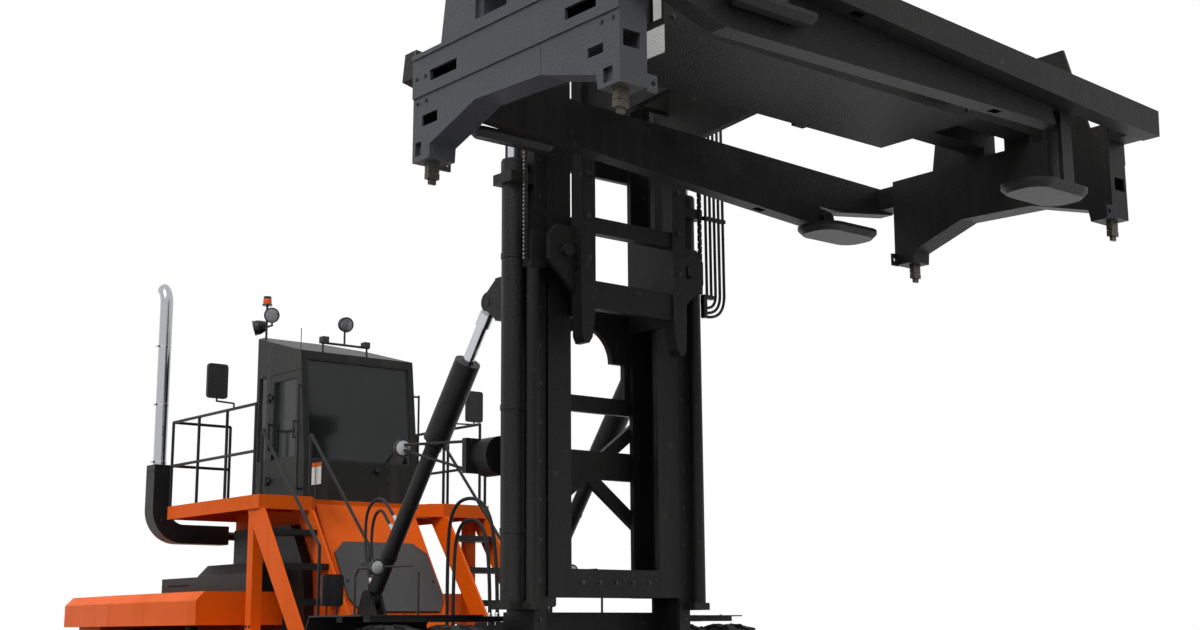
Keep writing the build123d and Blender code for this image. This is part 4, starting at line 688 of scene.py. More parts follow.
@dataclass(frozen=True)
class Finish:
    """One finish: its colour, gloss, how much the weather shows on it, and its edge colour, which is edge
    wear and, on the dark paints, a painted highlight.
    """

    name: str
    colour: Colour
    roughness: float = 0.5
    metallic: float = 0.0
    coat: float = 0.0
    specular: float = 0.5
    dust_colour: Colour = (0.2, 0.18, 0.16)
    dust: float = 0.15
    streaks: float = 0.1
    # Edge colour and its strength: edge wear, and where it is lighter than the paint, a painted highlight
    # along the edges.
    edge_wear_and_highlight: float = 0.0
    edge_wear_and_highlight_colour: Colour = (0.07, 0.07, 0.072)
    chips: float = 0.0
    chip_colour: Colour = (0.08, 0.07, 0.06)
    bump: float = 0.02
    patch_scale: float = 0.8
    streak_scale: float = 6.0
    grain_scale: float = 60.0

    def build(self, weather_and_edges: WeatherAndEdgeMasks) -> bpy.types.Material:
        """Make the material.

        Args:
            weather_and_edges: The shared shader group.

        Returns:
            The new material.
        """
        made, tree, shader = blank_material(self.name)
        group = tree.add("ShaderNodeGroup", node_tree=weather_and_edges.group)
        group.inputs["Patch scale"].default_value = self.patch_scale
        group.inputs["Streak scale"].default_value = self.streak_scale
        group.inputs["Grain scale"].default_value = self.grain_scale
        dust = tree.maths("MULTIPLY", group.outputs["Dust"], self.dust)
        streaks = tree.maths("MULTIPLY", group.outputs["Streaks"], self.streaks)
        soiled = tree.maths("ADD", dust, streaks)
        colour = tree.blend(soiled, self.colour, self.dust_colour)
        chips = tree.maths("MULTIPLY", group.outputs["Chips"], self.chips)
        colour = tree.blend(chips, colour, self.chip_colour)
        # Edge colour: worn edges, and on the dark paints a lighter painted highlight along the edges.
        edge_wear_and_highlight = tree.maths("MULTIPLY", group.outputs["Edges"], self.edge_wear_and_highlight)
        colour = tree.blend(edge_wear_and_highlight, colour, self.edge_wear_and_highlight_colour)
        tree.link(colour, shader.inputs["Base Color"])
        rough = tree.maths("MULTIPLY_ADD", soiled, 0.6)
        rough.node.inputs[2].default_value = self.roughness
        tree.link(rough, shader.inputs["Roughness"])
        shader.inputs["Metallic"].default_value = self.metallic
        shader.inputs["Specular IOR Level"].default_value = self.specular
        shader.inputs["Coat Weight"].default_value = self.coat
        bump = tree.add("ShaderNodeBump")
        bump.inputs["Strength"].default_value = 0.4
        bump.inputs["Distance"].default_value = self.bump
        tree.link(group.outputs["Grain"], bump.inputs["Height"])
        tree.link(bump.outputs[0], shader.inputs["Normal"])
        return made


@dataclass(frozen=True)
class GlassFinish:
    """Dark tinted glass."""

    name: str
    colour: Colour = (0.012, 0.015, 0.014)
    roughness: float = 0.05
    specular: float = 0.22

    def build(self, weather_and_edges: WeatherAndEdgeMasks) -> bpy.types.Material:
        """Make the material.

        Args:
            weather_and_edges: The shared shader group, for the film of dust.

        Returns:
            The new material.
        """
        made, tree, shader = blank_material(self.name)
        group = tree.add("ShaderNodeGroup", node_tree=weather_and_edges.group)
        film = tree.maths("MULTIPLY", group.outputs["Dust"], 0.03)
        colour = tree.blend(film, self.colour, (0.3, 0.3, 0.3))
        tree.link(colour, shader.inputs["Base Color"])
        rough = tree.maths("ADD", film, self.roughness)
        tree.link(rough, shader.inputs["Roughness"])
        shader.inputs["Transmission Weight"].default_value = 0.3
        shader.inputs["Specular IOR Level"].default_value = self.specular
        return made


# On the dark paints the lighter edge colour is a painted edge highlight as well as wear.
FINISHES: tuple[Finish | GlassFinish, ...] = (
    Finish(
        "orange_paint", linear(228, 92, 5), 0.45, specular=0.12, dust_colour=(0.4, 0.09, 0.01), dust=0.3,
        streaks=0.2, edge_wear_and_highlight=0.35, edge_wear_and_highlight_colour=(0.3, 0.13, 0.06),
    ),
    Finish("black_paint", linear(23, 23, 24), 0.42, specular=0.2, dust=0.03, streaks=0.03, edge_wear_and_highlight=0.5),
    Finish("hood_paint", linear(22, 22, 22), 0.42, specular=0.16, dust=0.04, streaks=0.04, edge_wear_and_highlight=0.4),
    Finish("cab_paint", linear(26, 29, 27), 0.42, specular=0.16, dust=0.03, edge_wear_and_highlight=0.4),
    Finish(
        "mast_paint", linear(22, 22, 22), 0.46, specular=0.16, dust=0.035, streaks=0.05, chips=0.3, edge_wear_and_highlight=0.6,
    ),
    Finish(
        "grey_paint", linear(64, 66, 71), 0.46, specular=0.3, dust=0.06, streaks=0.08, chips=0.2,
        chip_colour=(0.03, 0.03, 0.03), edge_wear_and_highlight=0.8, edge_wear_and_highlight_colour=(0.2, 0.2, 0.21),
    ),
    Finish("cover_paint", linear(60, 61, 62), 0.45, specular=0.3, dust=0.1, streaks=0.1, edge_wear_and_highlight=0.5),
    Finish("rim_paint", linear(40, 40, 41), 0.5, specular=0.25, dust=0.12, edge_wear_and_highlight=0.5),
    Finish("engine_iron", linear(48, 48, 50), 0.65, metallic=0.3, bump=0.05),
    Finish("tyre_rubber", linear(27, 27, 28), 0.82, specular=0.2, dust=0.12, bump=0.03),
    Finish("seat_cloth", linear(26, 26, 28), 0.9, specular=0.15, grain_scale=300.0),
    Finish("chrome_steel", linear(176, 178, 184), 0.16, metallic=1.0, dust=0.08, bump=0.0),
    Finish("lamp_shell", linear(30, 30, 31), 0.3, specular=0.3),
    Finish("dark_plastic", linear(24, 24, 25), 0.5, specular=0.25, dust=0.05),
    Finish("rod_chrome", linear(190, 192, 196), 0.14, metallic=1.0, dust=0.06, bump=0.0),
    Finish("chain_steel", linear(48, 46, 44), 0.42, metallic=0.7, dust=0.1),
    Finish("hose_rubber", linear(20, 20, 21), 0.5, specular=0.25, dust=0.04),
    Finish("bolt_steel", linear(44, 44, 46), 0.4, metallic=0.5, dust=0.1),
    Finish("lens_glass", linear(196, 198, 200), 0.08, coat=0.6, dust=0.05, bump=0.004),
    Finish("lens_smoke", linear(112, 114, 118), 0.1, coat=0.6, dust=0.05, bump=0.004),
    Finish("amber_lens", linear(222, 84, 12), 0.3, specular=0.25, dust=0.05, bump=0.004),
    Finish("red_lens", linear(176, 20, 10), 0.3, specular=0.25, dust=0.05, bump=0.004),
    Finish("white_plate", linear(220, 220, 218), 0.45, dust=0.1),
    Finish("lock_steel", linear(66, 62, 52), 0.35, metallic=0.7, dust=0.1),
    GlassFinish("cab_pane"),
)

NODE_FINISH: dict[str, str] = {
    "tanks": "orange_paint",
    "engine_block": "engine_iron",
    "pedestal_cover": "cover_paint",
    "counterweight": "orange_paint",
    "rear_deck": "orange_paint",
    "hood": "hood_paint",
    "stair_stringers": "orange_paint",
    "pedestal": "orange_paint",
    "platform": "orange_paint",
    "cab_shell": "cab_paint",
    "cab_door": "cab_paint",
    "cab_glass": "cab_pane",
    "cab_door_glass": "cab_pane",
    "cab_seat": "seat_cloth",
    "exhaust_stack": "chrome_steel",
    "lamps": "lamp_shell",
    "mirrors": "dark_plastic",
    "lift_rods": "rod_chrome",
    "lift_chains": "chain_steel",
    "mast_hoses": "hose_rubber",
    "spreader_end_right": "grey_paint",
}
NODE_WORDS: tuple[tuple[str, str], ...] = (
    ("tyre", "tyre_rubber"),
    ("rim", "rim_paint"),
    ("tilt_rod", "rod_chrome"),
    ("twistlocks", "lock_steel"),
    ("mast", "mast_paint"),
    ("carriage", "mast_paint"),
    ("spreader", "mast_paint"),
    ("leg_", "mast_paint"),
)


class Paintshop:
    """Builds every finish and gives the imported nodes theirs."""

    def __init__(self) -> None:
        """Build the shared group and the finishes."""
        weather_and_edges = WeatherAndEdgeMasks()
        self.materials = {finish.name: finish.build(weather_and_edges) for finish in FINISHES}

    def finish_for(self, node: str) -> bpy.types.Material:
        """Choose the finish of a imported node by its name.

        Args:
            node: The node's name.

        Returns:
            The material that it gets.
        """
        name = NODE_FINISH.get(node)
        if name is None:
            name = next((found for word, found in NODE_WORDS if word in node), "black_paint")
        return self.materials[name]

    def dress(self, nodes: dict[str, bpy.types.Object]) -> None:
        """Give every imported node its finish.

        Args:
            nodes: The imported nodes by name.
        """
        for name, node in nodes.items():
            node.data.materials.clear()
            node.data.materials.append(self.finish_for(name))
            LOG.info("%s is finished in %s", name, node.data.materials[0].name)


@dataclass(frozen=True)
class BoltRow:
    """Bolts on one node, found by looking from each start along the way."""

    name: str
    node: str
    starts: list[Point]
    way: Point
    size: float
    body: Body = Body.CHASSIS


@dataclass
class Workshop:
    """What every class of details needs: the finishes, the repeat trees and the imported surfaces."""

    paint: dict[str, bpy.types.Material]
    tools: Toolbox
    surfaces: Surfaces

    def make(
        self, form: Mesher, name: str, finish: str, slot: str,
        body: Body | str = Body.CHASSIS, bevel: float = 0.0,
    ) -> bpy.types.Object:
        """Turn a form into a finished piece with the named finish."""
        return form.piece(name, self.paint[finish], body, slot, bevel=bevel)

    def black(self, form: Mesher, name: str, body: Body | str = Body.CHASSIS, bevel: float = 0.0) -> None:
        """Turn a form into a finished piece in black paint."""
        self.make(form, name, "black_paint", "black_paint", body, bevel)

    def bolt(self, name: str, spots: list[Spot], body: Body | str, size: float = 1.0) -> None:
        """Put hex bolts at the spots.

        Args:
            name: The piece's name.
            spots: The places on a surface.
            body: The body that they ride on.
            size: The bolts' size, where 1 is a head 28 mm across its corners.
        """
        if not spots:
            LOG.warning("%s found no surface", name)
            return
        sizes = {part: value * size for part, value in BOLT_SIZES.items()}
        made = self.tools.bolts.grow(name, spots, self.paint["bolt_steel"], sizes)
        Mesher.place(made, body, "black_paint", angle=30)

    def fasten(self, rows: tuple[BoltRow, ...]) -> None:
        """Put in the bolts of every row."""
        for row in rows:
            self.bolt(row.name, self.surfaces.spots(row.node, row.starts, row.way), row.body, row.size)


@dataclass
class Wheels:
    """Lugged tyres in place of the plain ones, and the nuts and caps of the wheels."""

    shop: Workshop
    radius: float = 0.806
    carcass: float = 0.768
    rim: float = 0.322
    dual_half: float = 0.25
    lugs: int = 28
    lug_size: tuple[float, float, float] = (0.262, 0.085, 0.05)
    lug_offset: float = 0.47
    slant: float = 0.5
    trim_radius: float = 0.808
    trim_drop: float = 0.055
    shoulder: float = 0.8
    shoulder_width: float = 0.2
    side_gap: float = 0.004
    nut_count: int = 20
    nut_circle: float = 0.17
    nut_size: float = 1.25
    cap_face: float = 0.12
    cap: Pairs = ((0.0, 0.1), (0.035, 0.1), (0.05, 0.09), (0.055, 0.05), (0.075, 0.045), (0.08, 0.0))

    def profile(self, half: float) -> Profile:
        """Give one tyre's cross section.

        Args:
            half: Half the tyre's width.

        Returns:
            Pairs of place along the axle and radius, all round the section.
        """
        outer = (
            (0.74, self.rim), (0.86, self.rim + 0.02), (0.97, 0.42), (1.0, 0.53), (0.985, 0.63),
            (0.93, 0.71), (0.84, 0.75), (0.7, self.carcass), (0.35, self.carcass + 0.004),
        )
        right = [(share * half, radius) for share, radius in outer]
        left = [(-place, radius) for place, radius in right[::-1]]
        return [*right, (0.0, self.carcass + 0.005), *left, right[0]]

    def tyre(self, name: str, node: str, body: str, centres: list[float]) -> None:
        """Build the tyres of one axle end.

        Args:
            name: The new piece's name.
            node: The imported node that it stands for.
            body: The body that it rides on.
            centres: Where the tyres' middles are along Y.
        """
        low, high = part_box(node)
        middle = ((low[0] + high[0]) / 2, (low[2] + high[2]) / 2)
        half = (high[1] - low[1]) / 2 if len(centres) == 1 else self.dual_half
        form = Mesher()
        spots = []
        for centre in centres:
            form.turned((middle[0], centre, middle[1]), LEFTWARD, self.profile(half), 72)
            for side in (-1, 1):
                for step in range(self.lugs):
                    turn = 2 * math.pi * (step + 0.25 * side) / self.lugs
                    way = (math.cos(turn), 0.0, math.sin(turn))
                    reach = self.radius - self.lug_size[2] / 2
                    across = centre + side * half * self.lug_offset
                    at = (middle[0] + reach * way[0], across, middle[1] + reach * way[2])
                    spots.append(Spot(at, way, side * self.slant + math.pi / 2))
        made = form.piece(name, self.shop.paint["tyre_rubber"], body, "tyre", angle=40)
        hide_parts(node)
        sizes = dict(zip(("Length", "Width", "Height"), self.lug_size))
        lugs = self.shop.tools.blocks.grow(name + "_lugs", spots, self.shop.paint["tyre_rubber"], sizes)
        self.trim(lugs, middle, half, centres)
        Mesher.place(lugs, body, "tyre", bevel=0.006)

    def trim(
        self, lugs: bpy.types.Object, middle: tuple[float, float], half: float, centres: list[float]
    ) -> None:
        """Keep the lugs' corners inside the tyres' width and outer radius.

        Args:
            lugs: The lugs of all the tyres on one hub.
            middle: The axle's X and Z.
            half: Half a tyre's width.
            centres: Where the tyres' middles are along Y.
        """
        for vertex in lugs.data.vertices:
            centre = min(centres, key=lambda place: abs(place - vertex.co.y))
            vertex.co.y = max(centre - half + self.side_gap, min(centre + half - self.side_gap, vertex.co.y))
            reach = math.hypot(vertex.co.x - middle[0], vertex.co.z - middle[1])
            over = max(0.0, (abs(vertex.co.y - centre) / half - self.shoulder) / self.shoulder_width)
            limit = self.trim_radius - self.trim_drop * over
            if reach > limit:
                vertex.co.x = middle[0] + (vertex.co.x - middle[0]) * limit / reach
                vertex.co.z = middle[1] + (vertex.co.z - middle[1]) * limit / reach

    def nuts(self, name: str, node: str, body: str, side: int) -> None:
        """Put a ring of wheel nuts and a hub cap on a rim's outer face.

        Args:
            name: The start of the new pieces' names.
            node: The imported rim.
            body: The body that they ride on.
            side: 1 on the left and -1 on the right.
        """
        low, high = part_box(node)
        middle = ((low[0] + high[0]) / 2, (low[2] + high[2]) / 2)
        far = (high[1] if side > 0 else low[1]) + side * 0.2
        starts = []
        for step in range(self.nut_count):
            turn = 2 * math.pi * step / self.nut_count
            reach = (self.nut_circle * math.cos(turn), self.nut_circle * math.sin(turn))
            starts.append((middle[0] + reach[0], far, middle[1] + reach[1]))
        inward = (0, -side, 0)
        self.shop.bolt(name + "_nuts", self.shop.surfaces.spots(node, starts, inward), body, self.nut_size)
        face = self.shop.surfaces.spot(node, (middle[0] + self.cap_face, far, middle[1]), inward)
        if face is not None:
            foot = (middle[0], face.at[1] - side * 0.01, middle[1])
            cap = Mesher().turned(foot, (0, side, 0), list(self.cap), 36)
            self.shop.make(cap, name + "_cap", "rim_paint", "rim_paint", body)

    def build(self) -> None:
        """Build all the wheels."""
        for side, word in SIDES[::-1]:
            low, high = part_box(f"drive_tyres_{word}")
            centres = [low[1] + self.dual_half, high[1] - self.dual_half]
            self.tyre(f"drive_tread_{word}", f"drive_tyres_{word}", f"drive_wheels_{word}", centres)
            low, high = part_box(f"steer_tyre_{word}")
            centres = [(low[1] + high[1]) / 2]
            self.tyre(f"steer_tread_{word}", f"steer_tyre_{word}", f"steer_wheel_{word}", centres)
            self.nuts(f"drive_wheel_{word}", f"drive_rims_{word}", f"drive_wheels_{word}", side)
            self.nuts(f"steer_wheel_{word}", f"steer_rim_{word}", f"steer_wheel_{word}", side)


@dataclass(frozen=True)
class LampSpec:
    """One round lamp: its middle, where it faces, its radius and depth, and its body."""

    name: str
    centre: Point
    facing: Point
    radius: float
    depth: float
    body: Body = Body.CHASSIS
    lit: bool = False


LAMPS: tuple[LampSpec, ...] = (
    LampSpec("roof_lamp", (-3.251, -0.6, 5.26), (1, -0.7, -0.15), 0.088, 0.1),
    LampSpec("side_lamp", (-3.541, -0.6, 5.165), (-0.6, -1, -0.3), 0.088, 0.15),
    LampSpec("brow_lamp", (-2.325, -0.156, 5.065), (1, -0.15, -0.25), 0.085, 0.1),
    LampSpec("foot_lamp_right", (0.113, -1.217, 2.176), (1, 0, -0.1), 0.075, 0.1, lit=True),
    LampSpec("foot_lamp_left", (0.113, 1.217, 2.176), (1, 0, -0.1), 0.075, 0.1, lit=True),
    LampSpec("arm_lamp", (0.5, -1.18, 3.305), (1, -0.25, -0.1), 0.083, 0.1, Body.MAST, True),
)


@dataclass
class Lighting:
    """The lamps' lenses and bezels, the beacon's dome and the tail lamps."""

    shop: Workshop
    beacon: Point = (-3.381, -0.6, 5.413)
    look_off: float = 0.3
    tail_y: float = 1.32
    tail_z: float = 1.3
    tail_gap: float = 0.17
    glass: Pairs = ((0.0, 0.86), (0.006, 0.85), (0.014, 0.6), (0.017, 0.0))
    bezel: Pairs = (
        (0.0, 1.0), (0.0, 1.05), (0.014, 1.05), (0.018, 0.98), (0.014, 0.86), (0.0, 0.86), (0.0, 1.0)
    )
    dome: Pairs = ((0.0, 0.052), (0.06, 0.05), (0.085, 0.042), (0.097, 0.024), (0.1, 0.0))

    def lens(self, spec: LampSpec) -> None:
        """Build one lamp's lens, bezel and cooling fins.

        Args:
            spec: The lamp.
        """
        way = Vector(spec.facing).normalized()
        front = Vector(spec.centre) + way * (spec.depth / 2)
        scaled = [(reach, spec.radius * share) for reach, share in self.glass]
        glass = Mesher().turned(front - way * 0.004, way, scaled, 32)
        finish = "lens_glass" if spec.lit else "lens_smoke"
        self.shop.make(glass, spec.name + "_lens", finish, "lamp_plastic", spec.body)
        scaled = [(reach, spec.radius * share) for reach, share in self.bezel]
        bezel = Mesher().turned(front - way * 0.012, way, scaled, 32)
        self.shop.make(bezel, spec.name + "_bezel", "lamp_shell", "lamp_plastic", spec.body)
        fins = Mesher()
        for step in range(3):
            reach = -spec.depth * (0.42 - 0.16 * step)
            radius = spec.radius * (0.78 + 0.1 * step)
            fins.turned(Vector(spec.centre) + way * reach, way, [(0.0, radius), (0.005, radius)], 28)
        self.shop.make(fins, spec.name + "_fins", "lamp_shell", "lamp_plastic", spec.body)

    def build(self) -> None:
        """Build all the lamps."""
        for spec in LAMPS:
            self.lens(spec)
        dome = Mesher().turned(self.beacon, UP, list(self.dome), 32)
        self.shop.make(dome, "beacon_dome", "amber_lens", "lamp_plastic")
        low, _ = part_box("counterweight")
        for side, word in SIDES:
            for index, finish in enumerate(("red_lens", "amber_lens")):
                at = (low[0] - self.look_off, side * (self.tail_y - self.tail_gap * index), self.tail_z)
                spot = self.shop.surfaces.spot("counterweight", at, AHEAD)
                if spot is not None:
                    profile = [(-0.004, 0.065), (0.02, 0.065), (0.026, 0.058), (0.03, 0.0)]
                    tail = Mesher().turned(spot.at, spot.way, profile, 28)
                    self.shop.make(tail, f"tail_{finish}_{word}", finish, "lamp_plastic")


CAB_SCREWS: tuple[BoltRow, ...] = (
    BoltRow("cab_front_screws", "cab_shell", grid(-1.5, (0.06, 0.34), (3.27, 3.41)), BACK, 0.7),
    BoltRow("cab_side_screws", "cab_shell", grid((-3.15, -2.25), -1.2, (3.15, 3.6, 4.1, 4.5)), LEFTWARD, 0.6),
)


@dataclass
class CabFittings:
    """The cab's window gaskets, wiper, screws, plates, grip and grab rails."""

    shop: Workshop
    gasket: float = 0.022
    smallest_pane: float = 0.05
    shortest_rail: float = 0.05
    look_x: float = -1.5
    plate_x: tuple[float, float] = (-1.955, -1.845)
    plate_step: float = 0.125
    grip_z: tuple[float, float] = (3.6, 3.92)
    grip_off: float = 0.045
    rail_x: float = -2.2
    rail_y: tuple[float, float] = (0.735, 0.8)
    rail_z: tuple[float, float] = (3.1, 4.3)

    def gaskets(self) -> None:
        """Frame every pane with a rubber gasket along its border."""
        for node, body in (("cab_glass", Body.CHASSIS), ("cab_door_glass", Body.DOOR)):
            source = self.shop.surfaces.nodes[node]
            mesh = bmesh.new()
            mesh.from_mesh(source.data)
            bmesh.ops.remove_doubles(mesh, verts=mesh.verts, dist=1e-5)
            bmesh.ops.dissolve_limit(mesh, angle_limit=0.02, verts=mesh.verts, edges=mesh.edges)
            rails = Mesher()
            for face in mesh.faces:
                if face.calc_area() < self.smallest_pane or len(face.verts) < 4:
                    continue
                for edge in face.edges:
                    start, end = (vertex.co for vertex in edge.verts)
                    if (end - start).length > self.shortest_rail:
                        rails.bar(start, end, self.gasket / 2, 8)
            mesh.free()
            self.shop.make(rails, node + "_gasket", "hose_rubber", "black_paint", body)

    def wiper(self, foot: Point, elbow: Point, tip: Point) -> None:
        """Build the wiper, which lies on the pane: its motor cap, arm and blade.

        Args:
            foot: Where it turns.
            elbow: Where its arm holds the blade.
            tip: The blade's end.
        """
        form = Mesher().bar(foot, elbow, 0.008, 8).bar(elbow, tip, 0.011, 8)
        form.turned(foot, (1, 0, 0.1), [(-0.03, 0.03), (0.02, 0.03), (0.03, 0.02)], 16)
        self.shop.black(form, "front_wiper")

    def front(self) -> None:
        """Dress the front: the wiper, the panels' screws and the two blank plates on their post."""
        look = self.shop.surfaces
        foot = look.spot("cab_shell", (self.look_x, 0.2, 3.36), BACK)
        elbow = look.spot("cab_shell", (self.look_x, 0.3, 3.41), BACK)
        tip = look.spot("cab_glass", (self.look_x, 0.46, 3.6), BACK)
        if foot and elbow and tip:
            self.wiper(*[(spot.at[0] + 0.02, spot.at[1], spot.at[2]) for spot in (foot, elbow, tip)])
        self.shop.fasten(CAB_SCREWS)
        plates = Mesher()
        tops = Mesher()
        for index in range(2):
            low, high = (x + self.plate_step * index for x in self.plate_x)
            plates.block((low, -0.773, 3.14), (high, -0.769, 3.38))
            tops.block((low, -0.7745, 3.335), (high, -0.7725, 3.38))
        self.shop.make(plates, "blank_plates", "white_plate", "grey_paint", bevel=0.001)
        self.shop.make(tops, "blank_plate_tops", "orange_paint", "orange_paint")
        post = Mesher().block((-1.86, -0.769, 2.995), (-1.835, -0.75, 3.39))
        post.block((-1.98, -0.769, 3.2), (-1.72, -0.764, 3.24))
        self.shop.black(post, "plate_post", bevel=0.001)

    def sides(self) -> None:
        """Add the door's grip and lock, and the grab rails at the front corners."""
        low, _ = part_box("cab_door")
        grip = self.shop.surfaces.spot("cab_door", (low[0] + 0.09, -1.4, 3.75), LEFTWARD)
        if grip is not None:
            x, y, _ = grip.at
            out = y - self.grip_off
            form = Mesher().bar((x, out, self.grip_z[0]), (x, out, self.grip_z[1]), 0.011)
            for z in (3.62, 3.9):
                form.bar((x, y + 0.002, z), (x, out, z), 0.011)
            form.block((x - 0.03, y - 0.02, 3.5), (x + 0.03, y + 0.002, 3.56))
            self.shop.black(form, "door_grip", Body.DOOR)
        rails = Mesher()
        near, far = self.rail_y
        for side in (-1, 1):
            low, high = ((self.rail_x, side * far, z) for z in self.rail_z)
            rails.bar(low, high, 0.012)
            for z in (3.12, 4.28):
                rails.bar((self.rail_x, side * near, z), (self.rail_x, side * far, z), 0.012)
        self.shop.black(rails, "cab_grab_rails")

    def build(self) -> None:
        """Build the cab's fittings."""
        self.gaskets()
        self.front()
        self.sides()


@dataclass
class Seat:
    """The driver's seat: padded cushion and backrest on a plain base."""

    shop: Workshop
    floor: float = 3.06
    back: float = -3.275
    crown: float = 0.42
    seams: tuple[float, float] = (-0.45, 0.45)
    seam_half: float = 0.06
    seam_depth: float = 0.012
    wheel_radius: float = 0.19
    wheel_steps: int = 28
    puff_pressure: float = 4.0
    puff_frames: int = 12
    puff_cap: float = 0.012

    def pad(self, name: str, low: Point, high: Point, lean: float, pivot: Point) -> None:
        """Build one padded piece with rolled sides and sewn channels.

        Args:
            name: The piece's name.
            low: Its lowest corner before it leans.
            high: Its highest corner before it leans.
            lean: Its lean about Y in radians.
            pivot: The point that it leans about.
        """
        made = self.shop.make(Mesher().block(low, high), name, "seat_cloth", "seat_fabric")
        round_off = made.modifiers.new("round", "SUBSURF")
        round_off.subdivision_type = "SIMPLE"
        round_off.levels = round_off.render_levels = 4
        self.bake(made)
        size = Vector(high) - Vector(low)
        middle = (Vector(high) + Vector(low)) / 2
        thin = min(range(3), key=lambda axis: size[axis])
        for vertex in made.data.vertices:
            share = [(vertex.co[axis] - middle[axis]) / (size[axis] / 2) for axis in range(3)]
            rim = max(abs(share[axis]) for axis in range(3) if axis != thin)
            vertex.co[thin] = middle[thin] + share[thin] * (size[thin] / 2) * (1.0 - self.crown * rim**4)
            pinch = 0.05 * (1 - share[thin] ** 2) * (1 if rim > 0.97 else 0)
            for axis in range(3):
                if axis != thin:
                    vertex.co[axis] -= pinch * 0.1 * share[axis]
            channel = min(abs(share[1] - line) for line in self.seams)
            if channel < self.seam_half and share[thin] > 0.4:
                vertex.co[thin] -= self.seam_depth
        self.swell(made)
        turn = Matrix.Translation(pivot) @ Matrix.Rotation(lean, 4, "Y") @ Matrix.Translation(-Vector(pivot))
        made.data.transform(turn)

    @staticmethod
    def bake(made: bpy.types.Object) -> None:
        """Turn an object's modifiers into its mesh.

        Args:
            made: The object.
        """
        graph = bpy.context.evaluated_depsgraph_get()
        data = bpy.data.meshes.new_from_object(made.evaluated_get(graph))
        made.modifiers.clear()
        made.data = data

    def swell(self, made: bpy.types.Object) -> None:
        """Let a short cloth simulation puff a pad up, with each point's travel capped.

        Args:
            made: The pad.
        """
        rest = [vertex.co.copy() for vertex in made.data.vertices]
        cloth = made.modifiers.new("cloth", "CLOTH")
        cloth.settings.use_pressure = True
        cloth.settings.uniform_pressure_force = self.puff_pressure
        cloth.settings.effector_weights.gravity = 0.0
        cloth.settings.quality = 4
        for frame in range(1, self.puff_frames + 1):
            bpy.context.scene.frame_set(frame)
        self.bake(made)
        bpy.context.scene.frame_set(1)
        for vertex, start in zip(made.data.vertices, rest):
            way = vertex.co - start
            if way.length > self.puff_cap:
                vertex.co = start + way * (self.puff_cap / way.length)
        made.data.shade_smooth()

    def build(self) -> None:
        """Build the seat and the steering wheel in front of it."""
        floor, back = self.floor, self.back
        base = Mesher()
        base.block((back + 0.09, -0.17, floor), (back + 0.43, 0.17, floor + 0.05))
        base.block((back + 0.13, -0.13, floor + 0.05), (back + 0.39, 0.13, floor + 0.27))
        base.block((back + 0.07, -0.19, floor + 0.27), (back + 0.45, 0.19, floor + 0.315))
        base.block((back + 0.12, 0.2, floor + 0.5), (back + 0.42, 0.245, floor + 0.53))
        base.block((back + 0.12, -0.245, floor + 0.5), (back + 0.42, -0.2, floor + 0.53))
        held = self.shop.make(base, "seat_base", "dark_plastic", "seat_fabric", bevel=0.008)
        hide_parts("cab_seat")
        low, high = (back + 0.05, -0.23, floor + 0.325), (back + 0.52, 0.23, floor + 0.43)
        self.pad("seat_cushion", low, high, -0.03, (back, 0, floor))
        low, high = (back + 0.03, -0.22, floor + 0.46), (back + 0.13, 0.22, floor + 1.05)
        self.pad("seat_backrest", low, high, -0.16, (back + 0.085, 0, floor + 0.44))
        self.steering()

    def steering(self) -> None:
        """Build the steering wheel, its spokes and its column."""
        wheel = Mesher()
        hub = Vector((-2.575, 0.0, self.floor + 0.66))
        way = Vector((-0.3, 0, 0.95)).normalized()
        _, aside, across = Mesher.axes(way)
        rim = []
        for turn in [2 * math.pi * step / self.wheel_steps for step in range(self.wheel_steps + 1)]:
            rim.append(hub + self.wheel_radius * (aside * math.cos(turn) + across * math.sin(turn)))
        for start, end in zip(rim, rim[1:]):
            wheel.bar(start, end, 0.013, 8)
        for turn in (0.3, 2.4, 4.5):
            end = hub + self.wheel_radius * (aside * math.cos(turn) + across * math.sin(turn))
            wheel.bar(hub, end, 0.009, 8)
        wheel.turned(hub - way * 0.02, way, [(0.0, 0.045), (0.03, 0.045), (0.038, 0.03)], 20)
        wheel.bar(hub, (-2.515, 0.0, self.floor + 0.56), 0.025)
        wheel.block((-2.565, -0.06, self.floor), (-2.465, 0.06, self.floor + 0.6))
        self.shop.make(wheel, "steering_wheel", "dark_plastic", "seat_fabric")


@dataclass(frozen=True)
class HoseSpec:
    """One hydraulic hose or pipe run: its route's control points and its length in metres."""

    name: str
    body: Body | str
    diameter: float
    length: float
    route: tuple[Point, ...]


HOSES: tuple[HoseSpec, ...] = (
    HoseSpec("tilt_hose_upper", "tilt_barrel_right", 0.032, 1.57, (
        (-0.226, -1.03, 2.02), (-0.36, -1.0, 2.13), (-0.47, -0.97, 2.45), (-0.45, -0.97, 2.80),
        (-0.16, -0.98, 2.90), (0.1, -1.02, 2.71), (0.214, -1.03, 2.615),
    )),
    HoseSpec("tilt_hose_lower", "tilt_barrel_right", 0.032, 1.16, (
        (-0.155, -1.03, 2.117), (-0.27, -1.0, 2.21), (-0.34, -0.98, 2.45), (-0.30, -0.98, 2.70),
        (-0.12, -1.0, 2.77), (0.05, -1.03, 2.62), (0.155, -1.03, 2.535),
    )),
    HoseSpec("mast_supply_outer", Body.CHASSIS, 0.036, 2.98, (
        (0.29, -0.475, 1.5), (0.27, -0.475, 2.2), (0.34, -0.475, 2.84),
        (0.92, -0.475, 2.84), (1.12, -0.475, 2.3), (1.12, -0.475, 1.64),
    )),
    HoseSpec("mast_supply_inner", Body.CHASSIS, 0.036, 2.42, (
        (0.39, -0.475, 1.5), (0.38, -0.475, 2.1), (0.45, -0.475, 2.62),
        (0.86, -0.475, 2.64), (1.0, -0.475, 2.2), (1.0, -0.475, 1.64),
    )),
)


